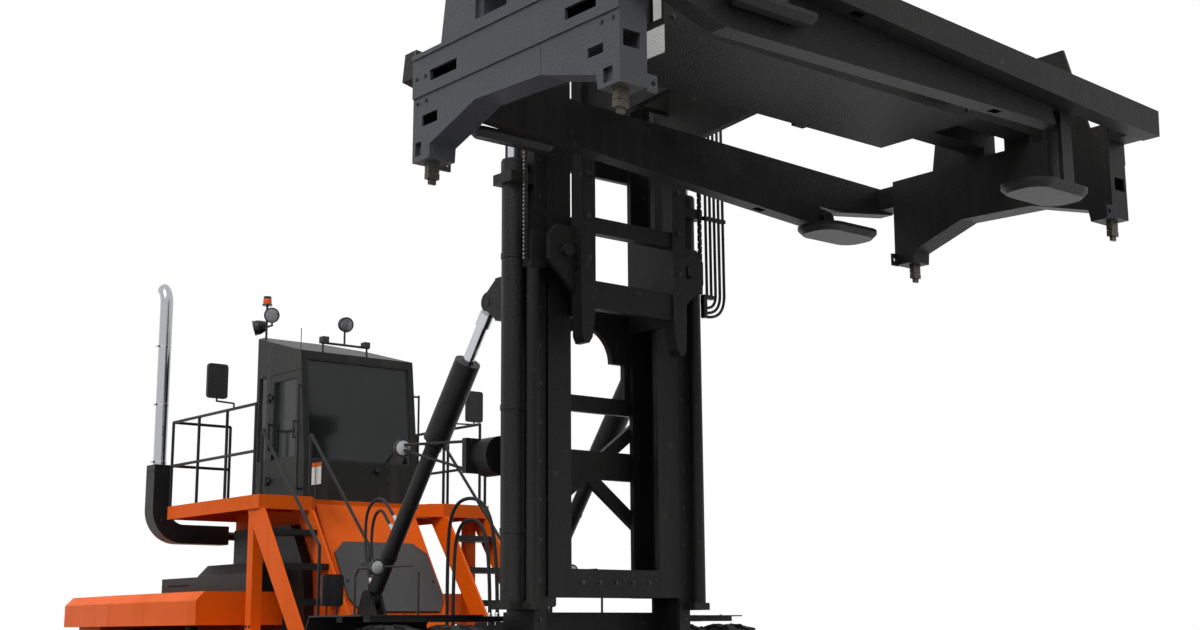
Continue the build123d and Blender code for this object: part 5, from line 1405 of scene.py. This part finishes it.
@dataclass
class Hoses:
    """The hydraulic hoses, each one smooth line between its two fittings."""

    shop: Workshop
    pipe_x: float = 2.3
    pipe_diameter: float = 0.03
    clip_z: Row = (5.6, 6.6, 7.3)
    pipes: tuple[tuple[float, Pairs], ...] = (
        (2.88, ((1.23, 7.7), (1.229, 6.2), (1.23, 4.82))),
        (2.88, ((1.29, 7.7), (1.291, 6.2), (1.29, 4.82))),
        (3.09, ((1.35, 7.7), (1.35, 5.0), (1.35, 4.7), (1.2, 4.7))),
        (3.18, ((1.41, 7.7), (1.41, 5.07), (1.41, 4.65), (1.2, 4.65))),
        (3.27, ((1.47, 7.7), (1.47, 5.14), (1.47, 4.6), (1.2, 4.61))),
    )

    def line(self, spec: HoseSpec) -> bpy.types.Object:
        """Args:
            spec: The hose.

        Returns:
            The curve's object.
        """
        data = bpy.data.curves.new(spec.name, "CURVE")
        data.dimensions = "3D"
        spline = data.splines.new("NURBS")
        spline.points.add(len(spec.route) - 1)
        for point, place in zip(spline.points, spec.route):
            point.co = (*place, 1.0)
        spline.order_u = 3
        spline.use_endpoint_u = True
        spline.resolution_u = 10
        data.bevel_depth = spec.diameter / 2
        data.bevel_resolution = 3
        data.use_fill_caps = True
        data.materials.append(self.shop.paint["hose_rubber"])
        made = bpy.data.objects.new(spec.name, data)
        Mesher.place(made, spec.body, "hose_rubber")
        return made

    def fitting(self, form: Mesher, end: Point, back: Point, size: float) -> None:
        """Add the crimped collar and nut at a hose's end.

        Args:
            form: The mesher that takes them.
            end: The hose's end.
            back: The next point of its route.
            size: The hose's diameter.
        """
        way = (Vector(back) - Vector(end)).normalized()
        form.turned(Vector(end) - way * 0.03, way, [(0.0, size * 0.8), (0.03, size * 0.8)], 6)
        form.turned(end, way, [(0.0, size * 0.72), (0.075, size * 0.72), (0.085, size * 0.6)], 18)

    def build(self) -> None:
        """Build the hoses and their fittings."""
        for spec in HOSES:
            self.line(spec)
            form = Mesher()
            self.fitting(form, spec.route[0], spec.route[1], spec.diameter)
            self.fitting(form, spec.route[-1], spec.route[-2], spec.diameter)
            self.shop.make(form, spec.name + "_fittings", "rod_chrome", "rod_steel", spec.body)
        ends = Mesher()
        first = None
        for index, (length, corners) in enumerate(self.pipes):
            route = tuple((self.pipe_x, y, z) for y, z in corners)
            made = self.line(HoseSpec(f"mast_pipe_{index}", Body.INNER, self.pipe_diameter, length, route))
            first = first or made
        ends.block((2.272, 1.165, 4.595), (2.328, 1.21, 4.79))
        ends.block((2.272, 1.165, 4.79), (2.328, 1.315, 4.83))
        ends.block((2.28, 1.15, 7.7), (2.34, 1.5, 7.76))
        for z in self.clip_z:
            ends.block((2.278, 1.2, z), (2.322, 1.495, z + 0.04))
        self.shop.black(ends, "mast_pipe_blocks", Body.INNER, bevel=0.004)
        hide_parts("mast_hoses")


@dataclass
class Chains:
    """The leaf chains of the lift, plate by plate."""

    shop: Workshop
    pitch: float = 0.038
    inner_y: float = 1.072
    outer_y: float = 1.112
    rows: int = 4
    row_gap: float = 0.01
    pin: tuple[float, float] = (0.006, 0.04)

    def build(self) -> None:
        """Build both chains in place of the plain bars."""
        low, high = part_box("lift_chains")
        x = (low[0] + high[0]) / 2
        plates = []
        pins = []
        for side in (-1, 1):
            for step in range(int((high[2] - low[2]) / self.pitch)):
                z = low[2] + (step + 0.5) * self.pitch
                for index in range(self.rows):
                    y = side * (self.inner_y + 0.005 + index * self.row_gap)
                    if (step + index) % 2:
                        plates.append(Spot((x, y, z), LEFTWARD))
                pins.append(Spot((x, side * (self.inner_y + self.outer_y) / 2, z - self.pitch / 2), LEFTWARD))
        sizes = {"Length": 0.03, "Width": self.pitch * 1.7, "Height": 0.007}
        made = self.shop.tools.blocks.grow("lift_chain_plates", plates, self.shop.paint["chain_steel"], sizes)
        Mesher.place(made, Body.INNER, "chain_steel", bevel=0.002)
        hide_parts("lift_chains")
        sizes = dict(zip(("Radius", "Length"), self.pin))
        made = self.shop.tools.pins.grow("lift_chain_pins", pins, self.shop.paint["rod_chrome"], sizes)
        Mesher.place(made, Body.INNER, "chain_steel")


PANEL_X: Row = (-3.6, -3.0, -2.3)
TANK_X: Row = (-3.25, -1.8)
FENDER_X: Row = (1.0, 1.4)
BODY_BOLTS: tuple[BoltRow, ...] = (
    BoltRow("cover_bolts", "pedestal_cover", grid(0.4, (-0.55, 0.55), (1.75, 2.1)), BACK, 0.9),
    BoltRow("cover_top_bolts", "pedestal_cover", grid(0.4, (-0.3, 0.0, 0.3), 2.28), BACK, 0.9),
    BoltRow("duct_bolts", "exhaust_duct", run((-3.9, -1.55, 2.72), (0.0, 0.05, 0.13), 3), BACK, 0.8),
    BoltRow("duct_side_bolts", "exhaust_duct", run((-4.28, -1.9, 3.42), (0.15, 0.0, 0.0), 2), LEFTWARD, 0.8),
    BoltRow("panel_bolts", "side_panels", grid(PANEL_X, -1.0, (1.7, 2.2)), LEFTWARD, 0.8),
    BoltRow("panel_bolts_left", "side_panels", grid(PANEL_X, 1.0, (1.7, 2.2)), RIGHTWARD, 0.8),
    BoltRow("post_bolts", "platform", grid((-2.03, -1.96), -1.8, 1.62), LEFTWARD, 0.9),
    BoltRow("weight_bolts", "counterweight", grid(-6.15, (-0.9, 0.9), 2.4), DOWN, 2.4),
    BoltRow("weight_side_bolts", "counterweight", grid((-6.0, -5.75), -2.2, 1.1), LEFTWARD, 2.2),
    BoltRow("tank_bolts", "tanks", grid(TANK_X, -2.2, (0.8, 1.35)), LEFTWARD, 1.0),
    BoltRow("tank_bolts_left", "tanks", grid(TANK_X, 2.2, (0.8, 1.35)), RIGHTWARD, 1.0),
    BoltRow("fork_bolts", "chassis_frame", grid((-0.36, -0.225, -0.09), -1.4, 1.5), LEFTWARD, 1.3),
    BoltRow("frame_bolts", "chassis_frame", grid((-1.5, -1.3, -1.1, -0.9), -0.9, 1.2), LEFTWARD, 1.3),
    BoltRow("axle_bolts", "drive_axle", grid(1.635, (-1.02, -0.96, 0.96, 1.02), 2.4), DOWN, 1.4),
    BoltRow("fender_bolts", "fenders", grid(FENDER_X, (-1.1, -1.7, -2.2), 2.2), DOWN, 0.8),
    BoltRow("fender_bolts_left", "fenders", grid(FENDER_X, (1.1, 1.7, 2.2), 2.2), DOWN, 0.8),
)


@dataclass
class Bodywork:
    """Bolts, grips, louvres, caps and plates on the fixed machine."""

    shop: Workshop
    louvres_x: float = -4.45
    louvre_step: float = 0.06
    louvre_count: int = 9
    band_x: tuple[float, float] = (-2.95, -2.05)
    band_width: float = 0.06
    grip_x: tuple[float, float] = (-4.2, -3.0)
    tow_x: float = -6.25
    pill: tuple[float, float] = (0.055, 0.028)
    deck_x: tuple[float, float] = (-3.9, -1.9)
    deck_y: tuple[float, float] = (0.77, 1.45)
    deck_top: float = 3.004
    clamp_z: Row = (3.52, 4.2, 4.9)

    def grow(
        self, name: str, spots: list[Spot], finish: str, sizes: tuple[float, float, float], bevel: float = 0.0
    ) -> None:
        """Repeat a small block at the spots as one piece.

        Args:
            name: The piece's name.
            spots: Where the blocks go.
            finish: The finish's name.
            sizes: The block's length, width and height.
            bevel: The width of its bevelled edges in metres.
        """
        named = dict(zip(("Length", "Width", "Height"), sizes))
        made = self.shop.tools.blocks.grow(name, spots, self.shop.paint[finish], named)
        Mesher.place(made, Body.CHASSIS, finish, bevel=bevel)

    def louvres(self) -> None:
        """Put a row of louvres on each side of the hood."""
        for side, word in SIDES:
            starts = run((self.louvres_x, side * 2.4, 2.1), (self.louvre_step, 0.0, 0.0), self.louvre_count)
            spots = self.shop.surfaces.spots("hood", starts, (0, -side, 0))
            turned = [Spot(spot.at, (0, side * 0.82, 0.57)) for spot in spots]
            if turned:
                self.grow(f"hood_louvres_{word}", turned, "hood_paint", (0.022, 0.012, 0.03), 0.002)

    def tank(self, side: int, word: str) -> None:
        """Give one tank its filler cap and its two bands.

        Args:
            side: 1 on the left and -1 on the right.
            word: The side's name.
        """
        spot = self.shop.surfaces.spot("tanks", (-3.2, side * 1.5, 1.9), DOWN)
        if spot is not None:
            profile = [(-0.004, 0.05), (0.03, 0.05), (0.032, 0.062), (0.065, 0.062), (0.072, 0.05)]
            cap = Mesher().turned(spot.at, UP, profile, 24)
            self.shop.make(cap, f"filler_cap_{word}", "dark_plastic", "black_paint")
        section = (
            (0.7, 1.563), (1.672, 1.563), (1.753, 1.482), (1.753, 0.668), (1.6, 0.517), (0.6, 0.517),
            (0.6, 0.52), (1.598, 0.52), (1.75, 0.67), (1.75, 1.48), (1.67, 1.56), (0.7, 1.56),
        )
        bands = Mesher()
        for x in self.band_x:
            bands.prism([(x, side * y, z) for y, z in section], (self.band_width, 0, 0))
        self.shop.black(bands, f"tank_bands_{word}")

    def grips(self) -> None:
        """Add the hood's grips and the tow pin."""
        grips = Mesher()
        for x in self.grip_x:
            spot = self.shop.surfaces.spot("hood", (x, 0.0, 3.0), DOWN)
            if spot is not None and spot.at[2] < 2.5:
                z = spot.at[2]
                grips.bar((x, -0.09, z + 0.03), (x, 0.09, z + 0.03), 0.009)
                for y in (-0.09, 0.09):
                    grips.bar((x, y, z), (x, y, z + 0.03), 0.009)
        grips.bar((self.tow_x, 0.0, 0.79), (self.tow_x, 0.0, 1.06), 0.0235, 20)
        grips.turned((self.tow_x, 0.0, 1.0), UP, [(0.0, 0.04), (0.02, 0.04), (0.022, 0.02), (0.05, 0.02)], 20)
        self.shop.make(grips, "hood_grips_and_tow_pin", "rod_chrome", "rod_steel")

    def reflector(self) -> None:
        """Put the pill-shaped reflector on the right tilt bracket."""
        spot = self.shop.surfaces.spot("chassis_frame", (-0.1, -1.6, 1.66), LEFTWARD)
        at = Vector(spot.at if spot else (-0.1, -1.1, 1.66))
        half, radius = self.pill
        outline = []
        for step in range(24):
            turn = 2 * math.pi * step / 24
            along = half if math.cos(turn) > 0 else -half
            x = at.x + along + radius * math.cos(turn)
            outline.append((x, at.y + 0.002, at.z + radius * math.sin(turn)))
        pill = Mesher().prism(outline, (0, -0.016, 0))
        self.shop.make(pill, "reflector", "red_lens", "lamp_plastic", bevel=0.003)

    def deck(self) -> None:
        """Lay the deck's tread plates beside the cab, with raised lozenges."""
        for side, word in SIDES:
            near, far = sorted(side * y for y in self.deck_y)
            low = (self.deck_x[0], near, self.deck_top - 0.005)
            plate = Mesher().block(low, (self.deck_x[1], far, self.deck_top))
            self.shop.black(plate, f"deck_plate_{word}")
            spots = []
            for row in range(49):
                for column in range(16):
                    if (row + column) % 2:
                        at = (-3.88 + 0.04 * row, side * (0.79 + 0.042 * column), self.deck_top)
                        spots.append(Spot(at, UP, 0.7 if row % 2 else -0.7))
            self.grow(f"deck_studs_{word}", spots, "black_paint", (0.03, 0.008, 0.005))

    def stairs(self) -> None:
        """Put grip bars along every tread."""
        _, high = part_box("stair_treads")
        spots = []
        for side in (-1, 1):
            for start in run((-1.95, side * 1.15, high[2] + 0.3), (0.045, 0.0, 0.0), 34):
                spot = self.shop.surfaces.spot("stair_treads", start, DOWN)
                if spot is not None and spot.way[2] > 0.9 and spot.at[2] > 1.6:
                    spots.append(Spot((spot.at[0], spot.at[1], spot.at[2] + 0.002), UP))
        if spots:
            self.grow("tread_grips", spots, "black_paint", (0.014, 0.52, 0.006))

    def exhaust(self) -> None:
        """Clamp the stack with three bands."""
        bands = Mesher()
        for z in self.clamp_z:
            bands.ring((-4.205, -1.5, z), UP, 0.0735, 0.08, 0.03)
            bands.block((-4.235, -1.6, z + 0.004), (-4.175, -1.575, z + 0.026))
        self.shop.make(bands, "stack_clamps", "rod_chrome", "chrome")

    def build(self) -> None:
        """Build all the bodywork's details."""
        self.shop.fasten(BODY_BOLTS)
        self.louvres()
        for side, word in SIDES:
            self.tank(side, word)
        self.grips()
        self.reflector()
        self.deck()
        self.stairs()
        self.exhaust()


@dataclass
class SpreaderKit:
    """Cylinder, pipes, brackets and blank plate on the spreader's main frame."""

    shop: Workshop
    front: float = 5.145
    side: float = -1.9
    cylinder_off: float = 0.085
    cylinder_z: float = 6.64
    cylinder_form: Pairs = (
        (0.0, 0.05), (0.03, 0.062), (0.09, 0.062), (0.1, 0.052), (1.5, 0.052), (1.51, 0.06), (1.58, 0.06)
    )
    fin: Pairs = ((-0.003, 6.78), (0.13, 6.78), (0.15, 6.7), (0.05, 6.46), (-0.003, 6.42))
    boss_at: Pairs = ((-0.57, 6.71), (0.57, 6.71), (1.82, 6.3))
    valve_y: float = 1.26
    valve_step: float = 0.1
    valve_count: int = 4
    pipe_z: float = 6.44
    pipe_step: float = 0.04
    pipe_count: int = 3
    clip_y: Row = (-1.6, -0.9, -0.2, 0.5, 1.1)

    def cylinder(self) -> None:
        """Lay the telescoping cylinder along the frame's front, on two brackets."""
        x, z = self.front + self.cylinder_off, self.cylinder_z
        form = Mesher().turned((x, -1.45, z), LEFTWARD, list(self.cylinder_form), 32)
        for y in (-1.42, 0.0):
            form.block((self.front - 0.004, y - 0.03, 6.57), (self.front + 0.09, y + 0.03, 6.71))
        self.shop.black(form, "telescope_cylinder", Body.SPREADER, bevel=0.003)
        rod = Mesher().bar((x, 0.1, z), (x, 1.3, z), 0.028, 24)
        rod.turned((x, 1.28, z), LEFTWARD, [(0.0, 0.03), (0.0, 0.045), (0.1, 0.045), (0.1, 0.02)], 24)
        self.shop.make(rod, "telescope_rod", "rod_chrome", "rod_steel", Body.SPREADER)

    def brackets(self) -> None:
        """Add the finned bracket, the bosses and the valve block."""
        form = Mesher()
        foot = self.front - 0.003
        for y in (1.45, 1.66):
            form.prism([(self.front + x, y, z) for x, z in self.fin], (0, 0.04, 0))
        form.block((foot, 1.43, 6.7), (self.front + 0.06, 1.72, 6.74))
        for y, z in self.boss_at:
            form.turned((foot, y, z), AHEAD, [(0.0, 0.06), (0.02, 0.06), (0.02, 0.035), (0.008, 0.03)], 28)
        form.block((foot, 1.2, 6.2), (self.front + 0.11, 1.62, 6.36))
        for step in range(self.valve_count):
            y = self.valve_y + self.valve_step * step
            form.turned((self.front + 0.1, y, 6.28), AHEAD, [(0.0, 0.032), (0.1, 0.032), (0.11, 0.02)], 18)
            form.turned((self.front + 0.05, y, 6.355), UP, [(0.0, 0.018), (0.05, 0.018)], 12)
        self.shop.black(form, "spreader_valves", Body.SPREADER, bevel=0.003)

    def pipes(self) -> None:
        """Run the steel pipes along the front, in clips."""
        form = Mesher()
        x = self.front + 0.022
        for step in range(self.pipe_count):
            z = self.pipe_z + self.pipe_step * step
            form.bar((x, -1.75, z), (x, 1.4, z), 0.011, 12)
            form.turned((x, -1.75, z), BACK, [(-0.012, 0.013), (0.03, 0.013)], 12)
        for y in self.clip_y:
            form.block((self.front - 0.003, y, 6.42), (self.front + 0.04, y + 0.03, 6.54))
        self.shop.make(form, "spreader_pipes", "hose_rubber", "hose_rubber", Body.SPREADER)

    def plate(self) -> None:
        """Hang the blank light plate at the frame's near side."""
        form = Mesher()
        form.block((5.02, self.side + 0.006, 5.86), (5.14, self.side + 0.012, 6.3))
        form.block((4.86, self.side + 0.003, 5.84), (5.14, self.side + 0.009, 6.06))
        self.shop.make(form, "spreader_blank_plate", "white_plate", "grey_paint", Body.SPREADER, 0.001)

    def build(self) -> None:
        self.cylinder()
        self.brackets()
        self.pipes()
        self.plate()


BOX_Y: Row = (-1.8, -1.2, -0.6, 0.0, 0.6, 1.2, 1.8)
HEAD_Y: Row = (-0.9, -0.5, 0.0, 0.5, 0.9)
FOOT_Y: Row = (-0.4, -0.2, 0.0, 0.2, 0.4)
ARM_Z: Row = (4.75, 4.85, 4.95, 5.05)
END_X: Row = (3.5, 3.62, 5.75, 5.87)
END_Z: Row = (5.62, 5.82)
DRUM_RING: list[Point] = [
    (1.2, -0.96 + 0.14 * math.cos(0.7 * k), 3.13 + 0.14 * math.sin(0.7 * k)) for k in range(9)
]
COLUMN_RUNS: list[Point] = [
    place for y in (-0.87, 0.87) for place in run((3.2, y, 0.6), (0.0, 0.0, 0.35), 16)
]
MEMBER_GRID: list[Point] = grid(1.0, (-0.7, -0.35, 0.35, 0.7), (3.0, 6.0))
BRACKET_GRID: list[Point] = grid(1.5, (-0.98, 0.98), (4.4, 4.5, 4.62, 4.72))
ARM_GRID: list[Point] = grid(5.0, (-0.56, 0.56), (4.9, 5.3, 5.7, 6.1))
GEAR_BOLTS: tuple[BoltRow, ...] = (
    BoltRow("column_bolts", "mast_outer", COLUMN_RUNS, BACK, 0.9, Body.MAST),
    BoltRow("member_bolts", "mast_outer", MEMBER_GRID, AHEAD, 1.2, Body.MAST),
    BoltRow("bracket_bolts", "mast_outer", BRACKET_GRID, AHEAD, 1.3, Body.MAST),
    BoltRow("drum_bolts", "mast_lamp", DRUM_RING, AHEAD, 0.8, Body.MAST),
    BoltRow("crosshead_bolts", "mast_inner", grid(3.2, HEAD_Y, 7.79), BACK, 1.3, Body.INNER),
    BoltRow("inner_foot_bolts", "mast_inner", grid(3.2, FOOT_Y, 1.98), BACK, 1.2, Body.INNER),
    BoltRow("arm_bolts", "carriage", ARM_GRID, BACK, 1.4, Body.CARRIAGE),
    BoltRow("arm_side_bolts", "carriage", grid(2.55, -1.6, ARM_Z), LEFTWARD, 1.2, Body.CARRIAGE),
    BoltRow("box_bolts", "spreader_frame", grid(6.2, BOX_Y, 6.7), BACK, 1.2, Body.SPREADER),
    BoltRow("box_low_bolts", "spreader_frame", grid(6.2, BOX_Y, 6.15), BACK, 1.2, Body.SPREADER),
    BoltRow("end_bolts", "spreader_end_right", grid(END_X, -3.6, END_Z), LEFTWARD, 0.9, Body.END_RIGHT),
    BoltRow("end_bolts_left", "spreader_end_left", grid(END_X, 3.6, END_Z), RIGHTWARD, 0.9, Body.END_LEFT),
)


@dataclass
class LiftGear:
    """Bolts, rings and bands of the mast, carriage, spreader, tilt cylinders and lift cylinders."""

    shop: Workshop
    tilt_foot: Point = (-0.225, 0.0, 1.87)
    tilt_eye: Point = (1.765, 0.0, 4.56)
    tilt_y: float = 1.03
    tube_radius: float = 0.0755
    tilt_bands: tuple[Row, ...] = ((0.5, 0.084, 0.05), (1.1, 0.082, 0.03), (1.75, 0.084, 0.05))
    port: Pairs = ((0.0, 0.03), (0.03, 0.03), (0.034, 0.024))
    tilt_ports: Row = (0.76, 0.87, 1.6)
    lift_at: tuple[float, float] = (2.145, 1.06)
    lift_radius: float = 0.1135
    lift_z: Row = (2.4, 3.5, 4.9)

    def tilt(self) -> None:
        """Add the tilt cylinders' gland rings and ports."""
        base, eye = Vector(self.tilt_foot), Vector(self.tilt_eye)
        way = (eye - base).normalized()
        up = Vector((-way.z, 0, way.x))
        for side, word in SIDES[::-1]:
            start = base + Vector((0, side * self.tilt_y, 0))
            rings = Mesher()
            for reach, radius, width in self.tilt_bands:
                rings.ring(start + way * reach, way, self.tube_radius, radius, width)
            for reach in self.tilt_ports:
                rings.turned(start + way * reach + up * 0.06, up, list(self.port), 16)
            self.shop.black(rings, f"tilt_rings_{word}", f"tilt_barrel_{word}")

    def posts(self) -> None:
        """Band the lift cylinders to the columns and cap them with glands."""
        form = Mesher()
        _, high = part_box("lift_barrels")
        x, y = self.lift_at
        for side in (-1, 1):
            for z in self.lift_z:
                form.ring((x, side * y, z), UP, self.lift_radius, 0.122, 0.053)
            form.ring((x, side * y, high[2] - 0.14), UP, self.lift_radius, 0.124, 0.125)
        self.shop.black(form, "lift_bands", Body.MAST)

    def build(self) -> None:
        """Build the details of the lifting gear."""
        self.shop.fasten(GEAR_BOLTS)
        self.tilt()
        self.posts()


@dataclass
class Stage:
    """The floor, the sky, the lamps and the camera."""

    eye: tuple[float, float, float] = (13.715, -9.74, 1.55)
    yaw: float = 140.01
    pitch: float = 11.06
    roll: float = -0.41
    focal_px: float = 1616.0
    photo_width: float = 1200.0
    far: float = 2000.0
    sensor: float = 36.0
    floor_half: float = 400.0
    floor_tone: Colour = (0.86, 0.86, 0.86)
    floor_bounce: Colour = (0.1, 0.1, 0.1)
    white: Colour = (1.0, 1.0, 1.0)
    low_sky: Colour = (0.45, 0.45, 0.46)
    sun_energy: float = 1.6
    sun_spread: float = 25.0
    sun_way: Point = (-0.35, 0.75, -0.9)

    @staticmethod
    def seen(tree: Tree) -> bpy.types.NodeSocket:
        """Give 1 where the camera looks, straight, in a mirror or through glass.

        Args:
            tree: The material's or world's tree.

        Returns:
            The socket of the mask.
        """
        path = tree.add("ShaderNodeLightPath")
        both = tree.maths("MAXIMUM", path.outputs["Is Camera Ray"], path.outputs["Is Glossy Ray"])
        return tree.maths("MAXIMUM", both, path.outputs["Is Transmission Ray"])

    def floor(self) -> None:
        """Lay the pale floor, which lights the underside like a dark yard."""
        mesh = bpy.data.meshes.new("floor")
        half = self.floor_half
        corners = [(-half, -half, 0), (half, -half, 0), (half, half, 0), (-half, half, 0)]
        mesh.from_pydata(corners, [], [(0, 1, 2, 3)])
        floor = bpy.data.objects.new("floor", mesh)
        bpy.context.scene.collection.objects.link(floor)
        made, tree, shader = blank_material("floor")
        shader.inputs["Roughness"].default_value = 0.9
        shader.inputs["Specular IOR Level"].default_value = 0.1
        tone = tree.blend(self.seen(tree), self.floor_bounce, self.floor_tone)
        tree.link(tone, shader.inputs["Base Color"])
        mesh.materials.append(made)

    def sky(self) -> None:
        """Set the world: white where it is seen, brighter overhead where it lights."""
        world = bpy.data.worlds.new("sky")
        bpy.context.scene.world = world
        world.use_nodes = True
        tree = Tree(world.node_tree)
        back = world.node_tree.nodes["Background"]
        seen = self.seen(tree)
        place = tree.add("ShaderNodeTexCoord")
        split = tree.add("ShaderNodeSeparateXYZ")
        tree.link(place.outputs["Generated"], split.inputs[0])
        height = tree.ramp(split.outputs["Z"], -0.1, 0.8)
        light = tree.blend(height, self.low_sky, self.white)
        tree.link(tree.blend(seen, light, self.white), back.inputs["Color"])
        back.inputs["Strength"].default_value = 1.0

    def lamps(self) -> None:
        """Hang one soft sun on the camera's side."""
        data = bpy.data.lights.new("sun", "SUN")
        data.energy = self.sun_energy
        data.angle = math.radians(self.sun_spread)
        sun = bpy.data.objects.new("sun", data)
        bpy.context.scene.collection.objects.link(sun)
        sun.rotation_euler = Vector(self.sun_way).to_track_quat("-Z", "Y").to_euler()

    def camera(self) -> None:
        """Place the camera as the photograph was taken."""
        data = bpy.data.cameras.new("camera")
        data.sensor_width = self.sensor
        data.lens = self.sensor * self.focal_px / self.photo_width
        data.clip_end = self.far
        camera = bpy.data.objects.new("camera", data)
        bpy.context.scene.collection.objects.link(camera)
        yaw, pitch, roll = (math.radians(turn) for turn in (self.yaw, self.pitch, self.roll))
        ahead = Vector((math.cos(yaw) * math.cos(pitch), math.sin(yaw) * math.cos(pitch), math.sin(pitch)))
        level = Vector((math.sin(yaw), -math.cos(yaw), 0.0))
        rise = level.cross(ahead)
        right = math.cos(roll) * level + math.sin(roll) * rise
        upward = -math.sin(roll) * level + math.cos(roll) * rise
        turn = Matrix((right, upward, -ahead)).transposed()
        camera.matrix_world = Matrix.Translation(self.eye) @ turn.to_4x4()
        bpy.context.scene.camera = camera

    def build(self) -> None:
        """Set everything up."""
        self.floor()
        self.sky()
        self.lamps()
        self.camera()
        bpy.context.scene.view_settings.view_transform = "Standard"


def clear_scene() -> None:
    """Remove what a new file starts with."""
    for found in list(bpy.data.objects):
        bpy.data.objects.remove(found)


def main() -> None:
    """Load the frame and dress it."""
    logging.basicConfig(level=logging.INFO, format="%(message)s")
    clear_scene()
    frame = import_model()
    Stage().build()
    shop = Paintshop()
    shop.dress(frame["nodes"])
    work = Workshop(shop.materials, Toolbox(), Surfaces(frame["nodes"]))
    for maker in (Hoses, Chains, Wheels, Lighting, CabFittings, Seat, Bodywork, LiftGear, SpreaderKit):
        maker(work).build()


if __name__ == "__main__":
    main()
